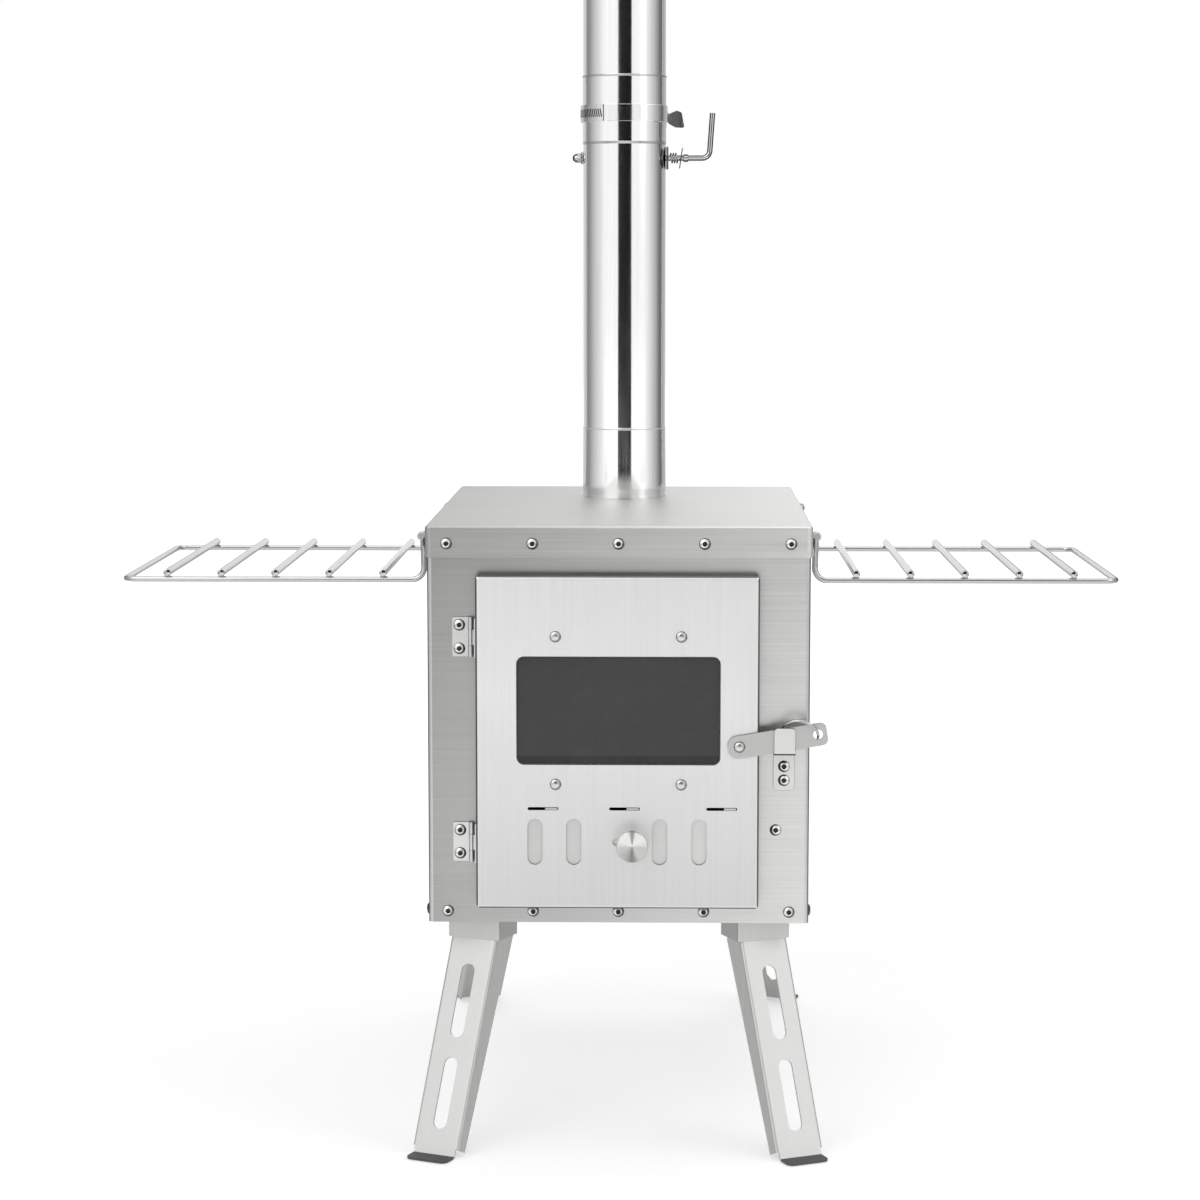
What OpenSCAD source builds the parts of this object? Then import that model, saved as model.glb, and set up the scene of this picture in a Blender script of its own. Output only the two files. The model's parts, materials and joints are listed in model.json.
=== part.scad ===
// Tent wood stove: a folded sheet firebox on four folding legs, with a glazed door, a damper in
// the flue pipe and a folding wire rack on each side.
// Millimetres. Z = 0 is the ground, the door faces -Y, and X = 0 is the middle of the firebox.

/* [Firebox] */
// Width of the firebox
body_w = 250; // [240:1:290]
// Length of the firebox, front to back
body_l = 350; // [340:1:420]
// Height of the firebox, from its base to the cooking surface
body_h = 262; // [256:1:300]
// Height of the base above the ground
base_clear = 147; // [130:1:150]
// Sheet thickness of the walls
sheet_t = 1; // [0.8:0.1:1.2]
// Thickness of the cooking plate
plate_t = 1.3; // [1:0.1:1.8]
// Depth of the rim folded down from the cooking plate
rim_h = 20.6; // [18:0.2:24]
// Outside radius of the folded upright corners
fold_r = 3; // [2.5:0.1:4]

/* [Rivets] */
// Diameter of a rivet head
rivet_d = 7.6; // [6:0.1:8.4]
// Height of a rivet head
rivet_h = 1.7; // [1:0.1:2]
// Number of rivets across the front and the back
rivet_count = 5; // [3:1:7]

/* [Door] */
// Width of the door
door_w = 184.6; // [180:0.2:190]
// Depth of the door's folded edge
door_depth = 12; // [11:0.1:13]
// Gap from the cooking surface to the top of the door
door_top_gap = 31.2; // [27:0.2:34]
// Gap from the bottom of the door to the firebox's base
door_base_gap = 11.8; // [10:0.2:14]
// Outside radius of the door's folded edge
door_fold_r = 3; // [2:0.1:4]
// Gap from each side of the door to the window
window_side_gap = 25.9; // [25:0.1:32]
// Thickness of the window glass
glass_t = 4; // [3:0.1:4.4]

/* [Air control] */
// Width of an air slot in the door
air_slot_w = 9.9; // [8:0.1:10]
// Height of an air slot in the door
air_slot_h = 30.5; // [26:0.1:32]
// Travel of the air slide
air_travel = 10.6; // [10.3:0.1:11]
// Diameter of the air knob
knob_d = 20.8; // [18:0.2:24]
// Height of the air knob in front of the door
knob_h = 16.5; // [14:0.1:20]

/* [Latch] */
// Distance from the latch pivot to the ring hole
latch_reach = 51.6; // [50.6:0.1:52.6]
// Width of the latch bar
latch_w = 15; // [14:0.1:16]
// Rise of the latch bar from its pivot, in degrees
latch_rise = 9.4; // [9:0.1:10]
// Radius of the pull ring to the middle of its wire
ring_r = 12; // [11.8:0.1:12.2]
// Diameter of the ring wire
ring_wire_d = 1.8; // [1.4:0.1:2]

/* [Flue] */
// Outside diameter of the flue pipe
pipe_d = 60; // [50:1:65]
// Wall of the flue pipe
pipe_wall = 0.5; // [0.4:0.1:0.7]
// Height of the flue collar above the cooking surface
collar_h = 51; // [40:1:60]
// Length of the damper section that shows above the collar
damper_len = 253.2; // [230:0.1:280]
// Length of the upper section that shows above the damper section
upper_len = 262; // [200:1:400]
// Depth of a socket at a pipe joint
socket_h = 50; // [40:1:55]
// Distance from the back of the firebox to the middle of the flue
flue_back_l = 90; // [85:1:110]

/* [Damper] */
// Height of the damper rod above the cooking surface
damper_up = 245.3; // [225:0.1:247]
// Diameter of the damper rod
damper_rod_d = 4; // [3:0.1:4.5]
// Length of the damper handle
damper_handle = 33; // [25:0.5:40]

/* [Legs] */
// Width of a leg
leg_w = 34; // [30:0.2:36]
// Sheet thickness of the legs and their brackets
leg_t = 1.5; // [1.2:0.1:2]
// Outward tilt of a leg, in degrees
leg_tilt = 23.5; // [20:0.5:25]
// Turn of a leg away from straight ahead, in degrees
leg_yaw = 24; // [22:0.5:26]

/* [Racks] */
// Reach of a rack outside the firebox
rack_reach = 204.5; // [160:0.5:240]
// Length of a rack, front to back
rack_l = 219.5; // [180:0.5:230]
// Diameter of the rack's frame wire
rack_wire_d = 4; // [3:0.1:4.4]
// Diameter of the rack's rods
rack_rod_d = 5; // [4:0.1:6]
// Number of rods on a rack
rack_rods = 5; // [3:1:6]

/* [Hidden] */

// Facets of large, middling and small round shapes
large_fn = 40;
mid_fn = 24;
small_fn = 16;
rivet_fn = 13;
// One overrun for all cuts
over = 1;
// Clearance between pieces that move past each other
gap = 0.3;
// Radial clearance of a pin in its hole
pin_gap = 0.05;

// Main levels and faces
base_z = base_clear;
plate_z = base_z + body_h;
wall_top = plate_z - plate_t;
front_y = -body_l / 2;
rim_w = body_w + 2 * plate_t;
rim_l = body_l + 2 * plate_t;
rim_fold_r = fold_r + plate_t;
tray_flange = 15;
corner_r = 6;

// Rivets of the firebox
rivet_hole_d = 3;
rivet_hole_h = 1.2;
rivet_top_share = 0.62;
shank_d = 3.2;
rivet_inset = 12.9;
rim_rivet_drop = 11.4;
base_rivet_up = 7.5;

// Door faces and corners
door_x = -0.6;
door_left = door_x - door_w / 2;
door_right = door_x + door_w / 2;
door_top = plate_z - door_top_gap;
door_h = body_h - door_top_gap - door_base_gap;
door_mid = door_top - door_h / 2;
door_back = front_y - gap;
door_face = door_back - door_depth;
mouth_lap = 9;

// Window behind the door's face; its drop and height are shares of the door's height
window_drop_share = 0.24;
window_h_share = 0.325;
window_w = door_w - 2 * window_side_gap;
window_h = door_h * window_h_share;
window_shift = 0.7;
window_x = door_x + window_shift;
window_mid = door_top - door_h * window_drop_share - window_h / 2;
window_r = 5;
gasket_t = 1;
gasket_show = 0.6;
glass_lap = 8;
retainer_t = 1;
retainer_lap = 18;
window_rivet_d = 7.3;
window_rivet_out = 12.9;
window_rivet_share = 0.308;

// Air slide behind the door's face, its slots from left to right as shares of the door's width
air_drop_share = 0.797;
guide_drop_share = 0.697;
air_x_shares = [-0.2905, -0.1535, 0.1495, 0.289];
guide_x_shares = [-0.262, 0.0257, 0.369];
guide_l = 20.1;
guide_h = 2;
tab_end_gap = 0.8;
tab_l = guide_l - air_travel - 2 * tab_end_gap;
tab_t = guide_h - 2 * gap;
tab_proud = 0.4;
air_plate_t = 1.2;
air_plate_edge = 5;
air_z = door_top - air_drop_share * door_h;
guide_z = door_top - guide_drop_share * door_h;
knob_x = 9.3;
knob_neck_d = 9;
knob_rim_h = 3.2;
knob_dish = 1.6;
knob_gap = 0.6;
screw_d = 4;
screw_slot_gap = 0.4;

// Hinges at the left edge of the door
knuckle_r = 1.7;
hinge_pin_d = 2;
hinge_h = 26;
hinge_leaf_w = 10.5;
hinge_leaf_t = 0.9;
hinge_out = 3.4;
hinge_x = door_left - hinge_out;
hinge_y = front_y - knuckle_r - gap;
hinge_shares = [0.188, 0.807];
knuckle_shares = [0.29, 0.41, 0.3];
hinge_rivet_up = 7.7;
hinge_rivet_out = 7.5;
hinge_rivet_x = hinge_x - hinge_rivet_out;
hinge_head_h = 1.4;

// Latch, catch and ring, placed from the latch pivot
latch_t = 1.2;
latch_in = 12.9;
latch_drop = 111.4;
latch_x = door_right - latch_in;
latch_z = door_top - latch_drop;
latch_back = door_face - gap;
latch_y = latch_back - latch_t / 2;
latch_tip = 6;
latch_tip_r = 4;
ring_hole_d = 6.4;
ring_tilt = 38;
ring_far = [32, 10];
ring_near = [latch_reach, 0];
ring_fn = 14;
catch_x = 22.4;
catch_w = 13.9;
catch_t = 1.2;
catch_plate_h = 25;
catch_flap_h = 16.8;
catch_corner_r = 2.5;
catch_rivet_drops = [9.2, 18.4];
lone_rivet_drop = 57.1;
lone_rivet_x = 24.2;
bar_low_end = latch_z + catch_x * tan(latch_rise) - latch_w / 2 / cos(latch_rise);
catch_ledge_z = bar_low_end - gap;

// Flue joints
flue_back = body_l / 2 - flue_back_l;
pipe_r = pipe_d / 2;
socket_gap = 0.15;
socket_r = pipe_r + socket_gap + pipe_wall;
flare_h = 3;
joint_in = socket_h - flare_h - gap;
collar_neck_h = 3;
collar_flange_w = 12;
collar_t = 1.2;
damper_foot = plate_z + collar_neck_h + flare_h + gap;
damper_top = plate_z + collar_h + damper_len;
upper_foot = damper_top - joint_in;
upper_top = damper_top + upper_len;
cap_foot = upper_top - joint_in;
cap_screen_h = 46;
cap_top = upper_top + cap_screen_h;
cap_slots = 10;
cap_slot_share = 0.6;
cap_slot_w = 8;
hat_over = 16;
hat_rise = 18;
hat_t = 1;
hat_skirt = 5;
hat_seat = 2;

// Band clamp round the joint, with its screw behind the pipe
clamp_drop = 27.5;
clamp_z = damper_top - clamp_drop;
clamp_h = 12;
clamp_t = 0.6;
clamp_r = socket_r + pin_gap;
tail_r = clamp_r + clamp_t + pin_gap;
tail_from = 28;
tail_to = 185;
tail_pitch = 3.4;
tail_slots = 22;
tail_slot_share = 0.5;
tail_slot_slant = 14;
clamp_box_w = 15;
clamp_box_d = 8;
clamp_box_x = 3;
clamp_screw_d = 5.4;
clamp_neck_end = 32;
wing_l = 11.5;
wing_t = 1.6;
wing_root = 6.5;
wing_wide = 16.5;
clamp_screw_y = flue_back + tail_r + clamp_t + clamp_box_d / 2;

// Damper fittings on its rod, outwards from the pipe
damper_z = plate_z + damper_up;
disc_gap = 1;
disc_t = 1;
disc_sleeve = 0.8;
disc_sleeve_share = 0.3;
nut_gap = 0.4;
nut_washer_d = 9;
nut_washer_t = 0.8;
nut_flat_d = 7.6;
nut_hex_h = 3.2;
nut_dome_r = 3.3;
seat_washer_d = 16.5;
seat_washer_t = 1.6;
spring_l = 8;
spring_r = 3.5;
spring_wire = 1;
spring_curls = 3;
spring_rings = 8;
spring_sides = 6;
tilt_washer_d = 15;
tilt_washer_t = 0.8;
tilt_washer_lean = 8;
tilt_washer_gap = 1.3;
rod_stop_d = 5.6;
rod_stop_l = 3.5;
handle_x = 31.5;
handle_bend_r = 5;
handle_lean = 4;
seat_x = pipe_r + gap;
spring_x = seat_x + seat_washer_t;
tilt_x = spring_x + spring_l;
stop_x = tilt_x + tilt_washer_gap + tilt_washer_t;

// Legs hang from pins under the base and fold inwards
leg_pin_d = 5;
leg_pin_drop = 12;
leg_pin_in = 25.3;
leg_pin_side = 34.5;
leg_pin_x = body_w / 2 - leg_pin_side;
leg_pin_y = body_l / 2 - leg_pin_in;
leg_pin_z = base_z - leg_pin_drop;
leg_face = 12;
leg_top = 4.5;
leg_flange_top = 21;
leg_flange_end = 10;
leg_flange_lift = 5;
leg_corner = 4;
leg_slot_w = 9.8;
leg_slot_shares = [[0.16, 0.484], [0.571, 0.88]];
foot_l = 12;
foot_r = 5;
leg_reach = (leg_pin_z + leg_face * sin(leg_tilt)) / cos(leg_tilt);
bracket_gap = 0.7;
bracket_w = leg_w + 2 * bracket_gap + 2 * leg_t;
bracket_h = 14;
bracket_back = 12;
bracket_stop = leg_face / cos(leg_tilt) + (bracket_h - leg_pin_drop) * tan(leg_tilt) + gap;

// Racks turn in rolled eyes on the plate's rim
eye_drop = 8;
eye_wall = 1.05;
eye_l = 12;
eye_in = 14;
rack_pin_step = 0.4;
rack_pin_d = rack_wire_d - rack_pin_step;
eye_r = rack_pin_d / 2 + pin_gap + eye_wall;
eye_x = rim_w / 2 + eye_r + gap;
eye_z = plate_z - eye_drop;
strap_t = 1.2;
strap_h = 13;
strap_rivet_share = 0.62;
rack_drop = 30;
rack_arm_x = rim_w / 2 + rack_wire_d / 2 + gap;
rack_bend_r = 7;
rack_z = eye_z - rack_drop;
rack_out = body_w / 2 + rack_reach - rack_wire_d / 2;
rack_front = front_y + eye_in + eye_l + gap + rack_wire_d / 2;
rack_back = rack_front + rack_l;
rack_inner_rod = 31;
rack_rod_over = 3;
rod_z = rack_z + rack_wire_d / 2 + rack_rod_d / 2;
rod_first_x = body_w / 2 + rack_inner_rod;
rod_edge_share = 0.8;
rod_pitch = (rack_out - rod_first_x) / (rack_rods - 1 + rod_edge_share);
wire_sides = 8;
wire_bend_steps = 4;

// Fire grate on the base pan
grate_gap = 8;
grate_t = 1.5;
grate_h = 18;
grate_rows = 9;
grate_slot_share = 0.36;
grate_slot_h = 8;

// A rectangle with round corners, centred
module round_rect(w, l, r) {
    square([w - 2 * r, l], center = true);
    square([w, l - 2 * r], center = true);
    for (sx = [-1, 1], sy = [-1, 1])
        translate([sx * (w / 2 - r), sy * (l / 2 - r)]) circle(r, $fn = mid_fn);
}

// An upright slot with round ends, centred
module slot_shape(w, l) {
    square([w, l - w], center = true);
    for (s = [-1, 1])
        translate([0, s * (l - w) / 2]) circle(d = w, $fn = small_fn);
}

// A flat shape drawn in X and Z, as a sheet whose rear face is at y
module upright(y, t) {
    translate([0, y, 0]) rotate([90, 0, 0]) linear_extrude(t) children();
}

// A flat shape drawn in Y and Z, as a sheet whose left face is at x
module sideways(x, t) {
    translate([x, 0, 0]) rotate([90, 0, 90]) linear_extrude(t) children();
}

// Section of a sheet folded back at both sides, with its face on the X axis
module tray_section(w, depth, t, r) {
    difference() {
        intersection() {
            translate([0, depth]) round_rect(w, 2 * depth, r);
            translate([-w / 2, 0]) square([w, depth]);
        }
        intersection() {
            translate([0, depth]) round_rect(w - 2 * t, 2 * depth - 2 * t, r - t);
            translate([-w / 2, 0]) square([w, depth + over]);
        }
    }
}

// A rivet head with the hole that its mandrel leaves, on the XY plane
module rivet_head(d, h) {
    rotate_extrude($fn = rivet_fn)
        polygon([[0, 0], [d / 2, 0], [d / 2 * rivet_top_share, h], [rivet_hole_d / 2, h],
            [0, h - rivet_hole_h]]);
}

// A smooth domed rivet head
module dome_head(d, h) {
    rotate_extrude($fn = small_fn)
        polygon([[0, 0], [d / 2, 0], [d / 2 * 0.92, h * 0.45], [d / 2 * 0.6, h * 0.85], [0, h]]);
}

// Turns children from the XY plane to face the front, at x, y and z
module face_front(x, y, z) {
    translate([x, y, z]) rotate([90, 0, 0]) children();
}

// A ring of wall thickness t inside radius r
module tube(r, t, h, fn) {
    difference() {
        cylinder(r = r, h = h, $fn = fn);
        translate([0, 0, -over]) cylinder(r = r - t, h = h + 2 * over, $fn = fn);
    }
}

// Rings of points for a tube swept along a path, from each point's own two cross directions
function unit(v) = v / norm(v);
function path_dir(p, i) = unit(p[min(i + 1, len(p) - 1)] - p[max(i - 1, 0)]);
function ring_points(c, u, v, r, n) =
    [for (k = [0:n - 1]) c + r * (cos(360 * k / n) * u + sin(360 * k / n) * v)];
function tube_faces(rings, n) = concat(
    [[for (k = [0:n - 1]) k]],
    [[for (k = [n - 1:-1:0]) (rings - 1) * n + k]],
    [for (i = [0:rings - 2], k = [0:n - 1]) [i * n + k, (i + 1) * n + k, i * n + (k + 1) % n]],
    [for (i = [0:rings - 2], k = [0:n - 1])
        [i * n + (k + 1) % n, (i + 1) * n + k, (i + 1) * n + (k + 1) % n]]);

// Sweeps a round wire along a path; sides holds one cross direction for each point
module swept_wire(p, sides_dir, r, n) {
    rings = [for (i = [0:len(p) - 1])
        let (t = path_dir(p, i), u = unit(sides_dir[i] - (sides_dir[i] * t) * t), v = cross(t, u))
        each ring_points(p[i], u, v, r, n)];
    polyhedron(points = rings, faces = tube_faces(len(p), n), convexity = 6);
}

// A length of flue pipe from z = 0 with a socket at its upper end
module flue_section(foot, top, depth) {
    low = pipe_r - pipe_wall;
    flare_at = top - depth;
    translate([0, flue_back, 0]) rotate_extrude($fn = large_fn)
        polygon([[low, foot], [pipe_r, foot], [pipe_r, flare_at], [socket_r, flare_at + flare_h],
            [socket_r, top], [socket_r - pipe_wall, top], [socket_r - pipe_wall, flare_at + flare_h],
            [low, flare_at]]);
}

module top_plate() {
    color("gainsboro") difference() {
        union() {
            translate([0, -rim_l / 2, wall_top]) linear_extrude(plate_t)
                translate([0, rim_l / 2]) round_rect(rim_w, rim_l, rim_fold_r);
            translate([0, 0, plate_z - rim_h]) linear_extrude(rim_h - plate_t) difference() {
                round_rect(rim_w, rim_l, rim_fold_r);
                round_rect(body_w, body_l, fold_r);
            }
        }
        translate([0, flue_back, wall_top - over])
            cylinder(r = pipe_r + socket_gap, h = plate_t + 2 * over, $fn = large_fn);
    }
}

module front_frame() {
    color("darkgray") difference() {
        translate([0, front_y, base_z]) linear_extrude(wall_top - base_z)
            tray_section(body_w, tray_flange, sheet_t, fold_r);
        upright(front_y + sheet_t + over, sheet_t + 2 * over) translate([door_x, door_mid])
            round_rect(door_w - 2 * mouth_lap, door_h - 2 * mouth_lap, corner_r);
    }
}

module back_panel() {
    color("darkgray") translate([0, -front_y, base_z]) mirror([0, 1, 0])
        linear_extrude(wall_top - base_z) tray_section(body_w, tray_flange, sheet_t, fold_r);
}

module side_panel(side) {
    color("darkgray") translate([side * (body_w / 2 - 3 * sheet_t / 2), 0, (base_z + wall_top) / 2])
        cube([sheet_t, body_l - 2 * fold_r, wall_top - base_z], center = true);
}

module side_panel_left() {
    side_panel(-1);
}

module side_panel_right() {
    side_panel(1);
}

module base_pan() {
    pan_w = body_w - 4 * sheet_t;
    pan_l = body_l - 2 * sheet_t;
    color("gray") translate([0, 0, base_z]) difference() {
        linear_extrude(tray_flange) round_rect(pan_w, pan_l, fold_r - sheet_t);
        translate([0, 0, sheet_t]) linear_extrude(tray_flange)
            round_rect(pan_w - 2 * sheet_t, pan_l - 2 * sheet_t, fold_r - 2 * sheet_t);
    }
}

// Rivets across the front and back at one height, and near each corner of the sides
module rivet_belt(z, out) {
    span = body_w - 2 * rivet_inset;
    for (turn = [0, 180], i = [0:rivet_count - 1])
        rotate([0, 0, turn]) face_front(-span / 2 + i * span / (rivet_count - 1), front_y - out, z)
            rivet_head(rivet_d, rivet_h);
    for (side = [-1, 1], end = [-1, 1])
        translate([side * (body_w / 2 + out), end * (body_l / 2 - tray_flange / 2), z])
            rotate([0, side * 90, 0]) rivet_head(rivet_d, rivet_h);
}

module rim_rivets() {
    color("silver") rivet_belt(plate_z - rim_rivet_drop, plate_t);
}

module base_rivets() {
    color("silver") rivet_belt(base_z + base_rivet_up, 0);
}

module fire_grate() {
    w = body_w - 6 * sheet_t - 2 * grate_gap;
    l = body_l - 4 * sheet_t - 2 * grate_gap;
    slot_w = w * grate_slot_share;
    color("dimgray") translate([0, 0, base_z + sheet_t]) difference() {
        translate([-w / 2, -l / 2, 0]) cube([w, l, grate_h]);
        translate([grate_t - w / 2, -l / 2 - over, -over])
            cube([w - 2 * grate_t, l + 2 * over, grate_h - grate_t + over]);
        for (side = [-1, 1], i = [0:grate_rows - 1])
            translate([side * w / 4 - slot_w / 2, (i + 1) * l / (grate_rows + 1) - (l + grate_slot_h) / 2, 0])
                cube([slot_w, grate_slot_h, grate_h + over]);
    }
}

// The collar is pushed up through the plate and held by its flange underneath
module flue_collar() {
    low = pipe_r - pipe_wall;
    neck = plate_z + collar_neck_h;
    color("silver") translate([0, flue_back, 0]) rotate_extrude($fn = large_fn)
        polygon([[low, wall_top - collar_t], [pipe_r + collar_flange_w, wall_top - collar_t],
            [pipe_r + collar_flange_w, wall_top], [pipe_r, wall_top], [pipe_r, neck],
            [socket_r, neck + flare_h], [socket_r, plate_z + collar_h],
            [socket_r - pipe_wall, plate_z + collar_h], [socket_r - pipe_wall, neck + flare_h],
            [low, neck]]);
}

module damper_pipe() {
    color("silver") difference() {
        flue_section(damper_foot, damper_top, socket_h);
        translate([-pipe_r - over, flue_back, damper_z]) rotate([0, 90, 0])
            cylinder(d = damper_rod_d + 2 * pin_gap, h = pipe_d + 2 * over, $fn = mid_fn);
    }
}

module upper_pipe() {
    color("silver") flue_section(upper_foot, upper_top, socket_h);
}

// Open band, its slotted tail over it, and the screw housing behind the pipe
module clamp_band() {
    color("lightgray") translate([0, flue_back, clamp_z - clamp_h / 2]) {
        tube(clamp_r + clamp_t, clamp_t, clamp_h, large_fn);
        difference() {
            rotate([0, 0, -90 - tail_to]) rotate_extrude(angle = tail_to - tail_from, $fn = large_fn)
                translate([tail_r, 0]) square([clamp_t, clamp_h]);
            for (i = [0:tail_slots - 1])
                rotate([0, 0, -90 - tail_from - (i + 1) * tail_pitch])
                    translate([tail_r + clamp_t / 2, 0, clamp_h / 2]) rotate([tail_slot_slant, 0, 0])
                        cube([2 * clamp_t, clamp_t, clamp_h * tail_slot_share], center = true);
        }
        difference() {
            translate([clamp_box_x - clamp_box_w / 2, clamp_r + clamp_t, 0])
                cube([clamp_box_w, clamp_screw_y - flue_back - clamp_r - clamp_t + clamp_box_d / 2, clamp_h]);
            cylinder(r = tail_r + clamp_t + pin_gap, h = clamp_h, $fn = large_fn);
            translate([-clamp_box_w, clamp_screw_y - flue_back, clamp_h / 2]) rotate([0, 90, 0])
                cylinder(d = clamp_screw_d + 2 * pin_gap, h = 3 * clamp_box_w, $fn = mid_fn);
        }
    }
}

// Worm screw of the clamp with its two-winged key
module clamp_screw() {
    start = clamp_box_x - clamp_box_w / 2 - over;
    color("darkgray") translate([0, clamp_screw_y, clamp_z]) {
        translate([start, 0, 0]) rotate([0, 90, 0])
            cylinder(d = clamp_screw_d, h = clamp_neck_end - start, $fn = mid_fn);
        translate([clamp_neck_end, wing_t / 2, 0]) rotate([90, 0, 0]) linear_extrude(wing_t)
            polygon([[-over, -wing_root / 2], [0, -wing_root / 2], [wing_l * 0.8, -wing_wide / 2],
                [wing_l, -wing_wide / 2 + wing_t], [wing_l * 0.72, 0],
                [wing_l, wing_wide / 2 - wing_t], [wing_l * 0.8, wing_wide / 2],
                [0, wing_root / 2], [-over, wing_root / 2]]);
    }
}

// Slotted spark screen with a plain stub that plugs into the pipe below
module cap_screen() {
    slot_h = cap_screen_h * cap_slot_share;
    color("silver") translate([0, flue_back, 0]) difference() {
        translate([0, 0, cap_foot]) tube(pipe_r, pipe_wall, cap_top - cap_foot, large_fn);
        for (i = [0:cap_slots / 2 - 1])
            rotate([0, 0, (2 * i + 1) * 180 / cap_slots])
                translate([-pipe_d, -cap_slot_w / 2, upper_top + (cap_screen_h - slot_h) / 2])
                    cube([2 * pipe_d, cap_slot_w, slot_h]);
    }
}

module cap_hat() {
    rim = pipe_r + hat_over;
    color("silver") translate([0, flue_back, cap_top]) rotate_extrude($fn = large_fn)
        polygon([[pipe_r - hat_seat, 0], [pipe_r, 0], [rim, -hat_skirt], [rim, hat_t - hat_skirt],
            [pipe_r, hat_t + hat_skirt / 2], [0, hat_rise], [0, hat_rise - hat_t],
            [pipe_r - hat_seat, hat_skirt / 2]]);
}

module along_x(x, z, d, l, fn) {
    translate([x, flue_back, z]) rotate([0, 90, 0]) cylinder(d = d, h = l, $fn = fn);
}

// Rod with a turned-up handle; it lies across the pipe
module damper_rod() {
    bend_x = pipe_r + handle_x - handle_bend_r;
    start = -pipe_r - nut_gap - nut_washer_t - nut_hex_h;
    color("silver") {
        along_x(start, damper_z, damper_rod_d, bend_x - start, mid_fn);
        along_x(stop_x, damper_z, rod_stop_d, rod_stop_l, mid_fn);
        translate([bend_x, flue_back, damper_z + handle_bend_r]) rotate([90, 0, 0]) {
            rotate([0, 0, -90]) rotate_extrude(angle = 90 - handle_lean, $fn = mid_fn)
                translate([handle_bend_r, 0]) circle(d = damper_rod_d, $fn = small_fn);
            rotate([0, 0, -handle_lean]) translate([handle_bend_r, 0, 0]) rotate([-90, 0, 0])
                cylinder(d = damper_rod_d, h = damper_handle - handle_bend_r, $fn = small_fn);
        }
    }
}

module damper_disc() {
    r = pipe_r - pipe_wall - disc_gap;
    sleeve_d = damper_rod_d + 2 * disc_sleeve;
    sleeve_l = r * disc_sleeve_share;
    color("gray") difference() {
        union() {
            translate([0, flue_back + disc_t / 2, damper_z]) rotate([90, 0, 0])
                cylinder(r = r, h = disc_t, $fn = large_fn);
            for (s = [-1, 1])
                along_x(s * r / 2 - sleeve_l / 2, damper_z, sleeve_d, sleeve_l, mid_fn);
        }
        along_x(-pipe_r, damper_z, damper_rod_d + 2 * pin_gap, pipe_d, mid_fn);
    }
}

// Path of the spring round the rod, with a straight end of one wire diameter at each washer
spring_first = spring_x + gap + spring_wire;
spring_run = spring_l - 2 * gap - 2 * spring_wire;
spring_steps = spring_curls * spring_rings;
function spring_at(i) = let (a = 360 * i / spring_rings)
    [spring_first + spring_run * i / spring_steps, spring_r * cos(a), spring_r * sin(a)];
spring_path = concat([spring_at(0) - [spring_wire, 0, 0]],
    [for (i = [0:spring_steps]) spring_at(i)],
    [spring_at(spring_steps) + [spring_wire, 0, 0]]);
spring_side = [for (p = spring_path) [0, p[1], p[2]]];
spring_apart = 5;
spring_last = len(spring_path) - 1;
spring_far = [for (i = [0:spring_last - spring_apart], j = [i + spring_apart:spring_last])
    norm(spring_path[i] - spring_path[j])];
echo(spring_least_gap = min(spring_far) - spring_wire);

module damper_spring() {
    color("silver") translate([0, flue_back, damper_z])
        swept_wire(spring_path, spring_side, spring_wire / 2, spring_sides);
}

module damper_washers() {
    bore = damper_rod_d + 2 * pin_gap;
    color("dimgray") {
        difference() {
            along_x(seat_x, damper_z, seat_washer_d, seat_washer_t, mid_fn);
            along_x(seat_x - over, damper_z, bore, seat_washer_t + 2 * over, mid_fn);
        }
        difference() {
            translate([tilt_x + tilt_washer_gap / 2, flue_back, damper_z])
                rotate([0, 90 + tilt_washer_lean, 0])
                    cylinder(d = tilt_washer_d, h = tilt_washer_t, $fn = mid_fn);
            along_x(tilt_x - over, damper_z, bore + 2 * gap, tilt_washer_t + 3 * over, mid_fn);
        }
    }
}

// Washer and domed cap nut on the plain end of the rod
module damper_nut() {
    washer_x = -pipe_r - nut_gap - nut_washer_t;
    hex_x = washer_x - nut_hex_h;
    color("silver") difference() {
        union() {
            along_x(washer_x, damper_z, nut_washer_d, nut_washer_t, small_fn);
            along_x(hex_x, damper_z, nut_flat_d, nut_hex_h, 6);
            translate([hex_x, flue_back, damper_z]) sphere(r = nut_dome_r, $fn = small_fn);
        }
        along_x(hex_x - pin_gap, damper_z, damper_rod_d + 2 * pin_gap, pipe_r, mid_fn);
    }
}

// Three knuckles of one hinge; the middle one belongs to the door
module knuckle(z, which) {
    low = which == 0 ? 0 : which == 1 ? knuckle_shares[0] : knuckle_shares[0] + knuckle_shares[1];
    l = knuckle_shares[which] * hinge_h;
    trim = which == 1 ? pin_gap : 0;
    translate([hinge_x, hinge_y, z - hinge_h / 2 + low * hinge_h + trim])
        cylinder(r = knuckle_r, h = l - 2 * trim, $fn = mid_fn);
}

module pin_hole(z) {
    translate([hinge_x, hinge_y, z - hinge_h / 2 - over])
        cylinder(d = hinge_pin_d + 2 * pin_gap, h = hinge_h + 2 * over, $fn = mid_fn);
}

module hinge_frame_leaves() {
    color("silver") for (share = hinge_shares) {
        z = door_top - share * door_h;
        difference() {
            union() {
                knuckle(z, 0);
                knuckle(z, 2);
                translate([hinge_x - knuckle_r - hinge_leaf_w, front_y - hinge_leaf_t, z - hinge_h / 2])
                    cube([hinge_leaf_w + knuckle_r, hinge_leaf_t, hinge_h]);
            }
            pin_hole(z);
            translate([hinge_x, hinge_y, z - hinge_h / 2 + knuckle_shares[0] * hinge_h - gap])
                cylinder(r = knuckle_r + gap, h = knuckle_shares[1] * hinge_h + 2 * gap, $fn = mid_fn);
        }
    }
}

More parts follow.
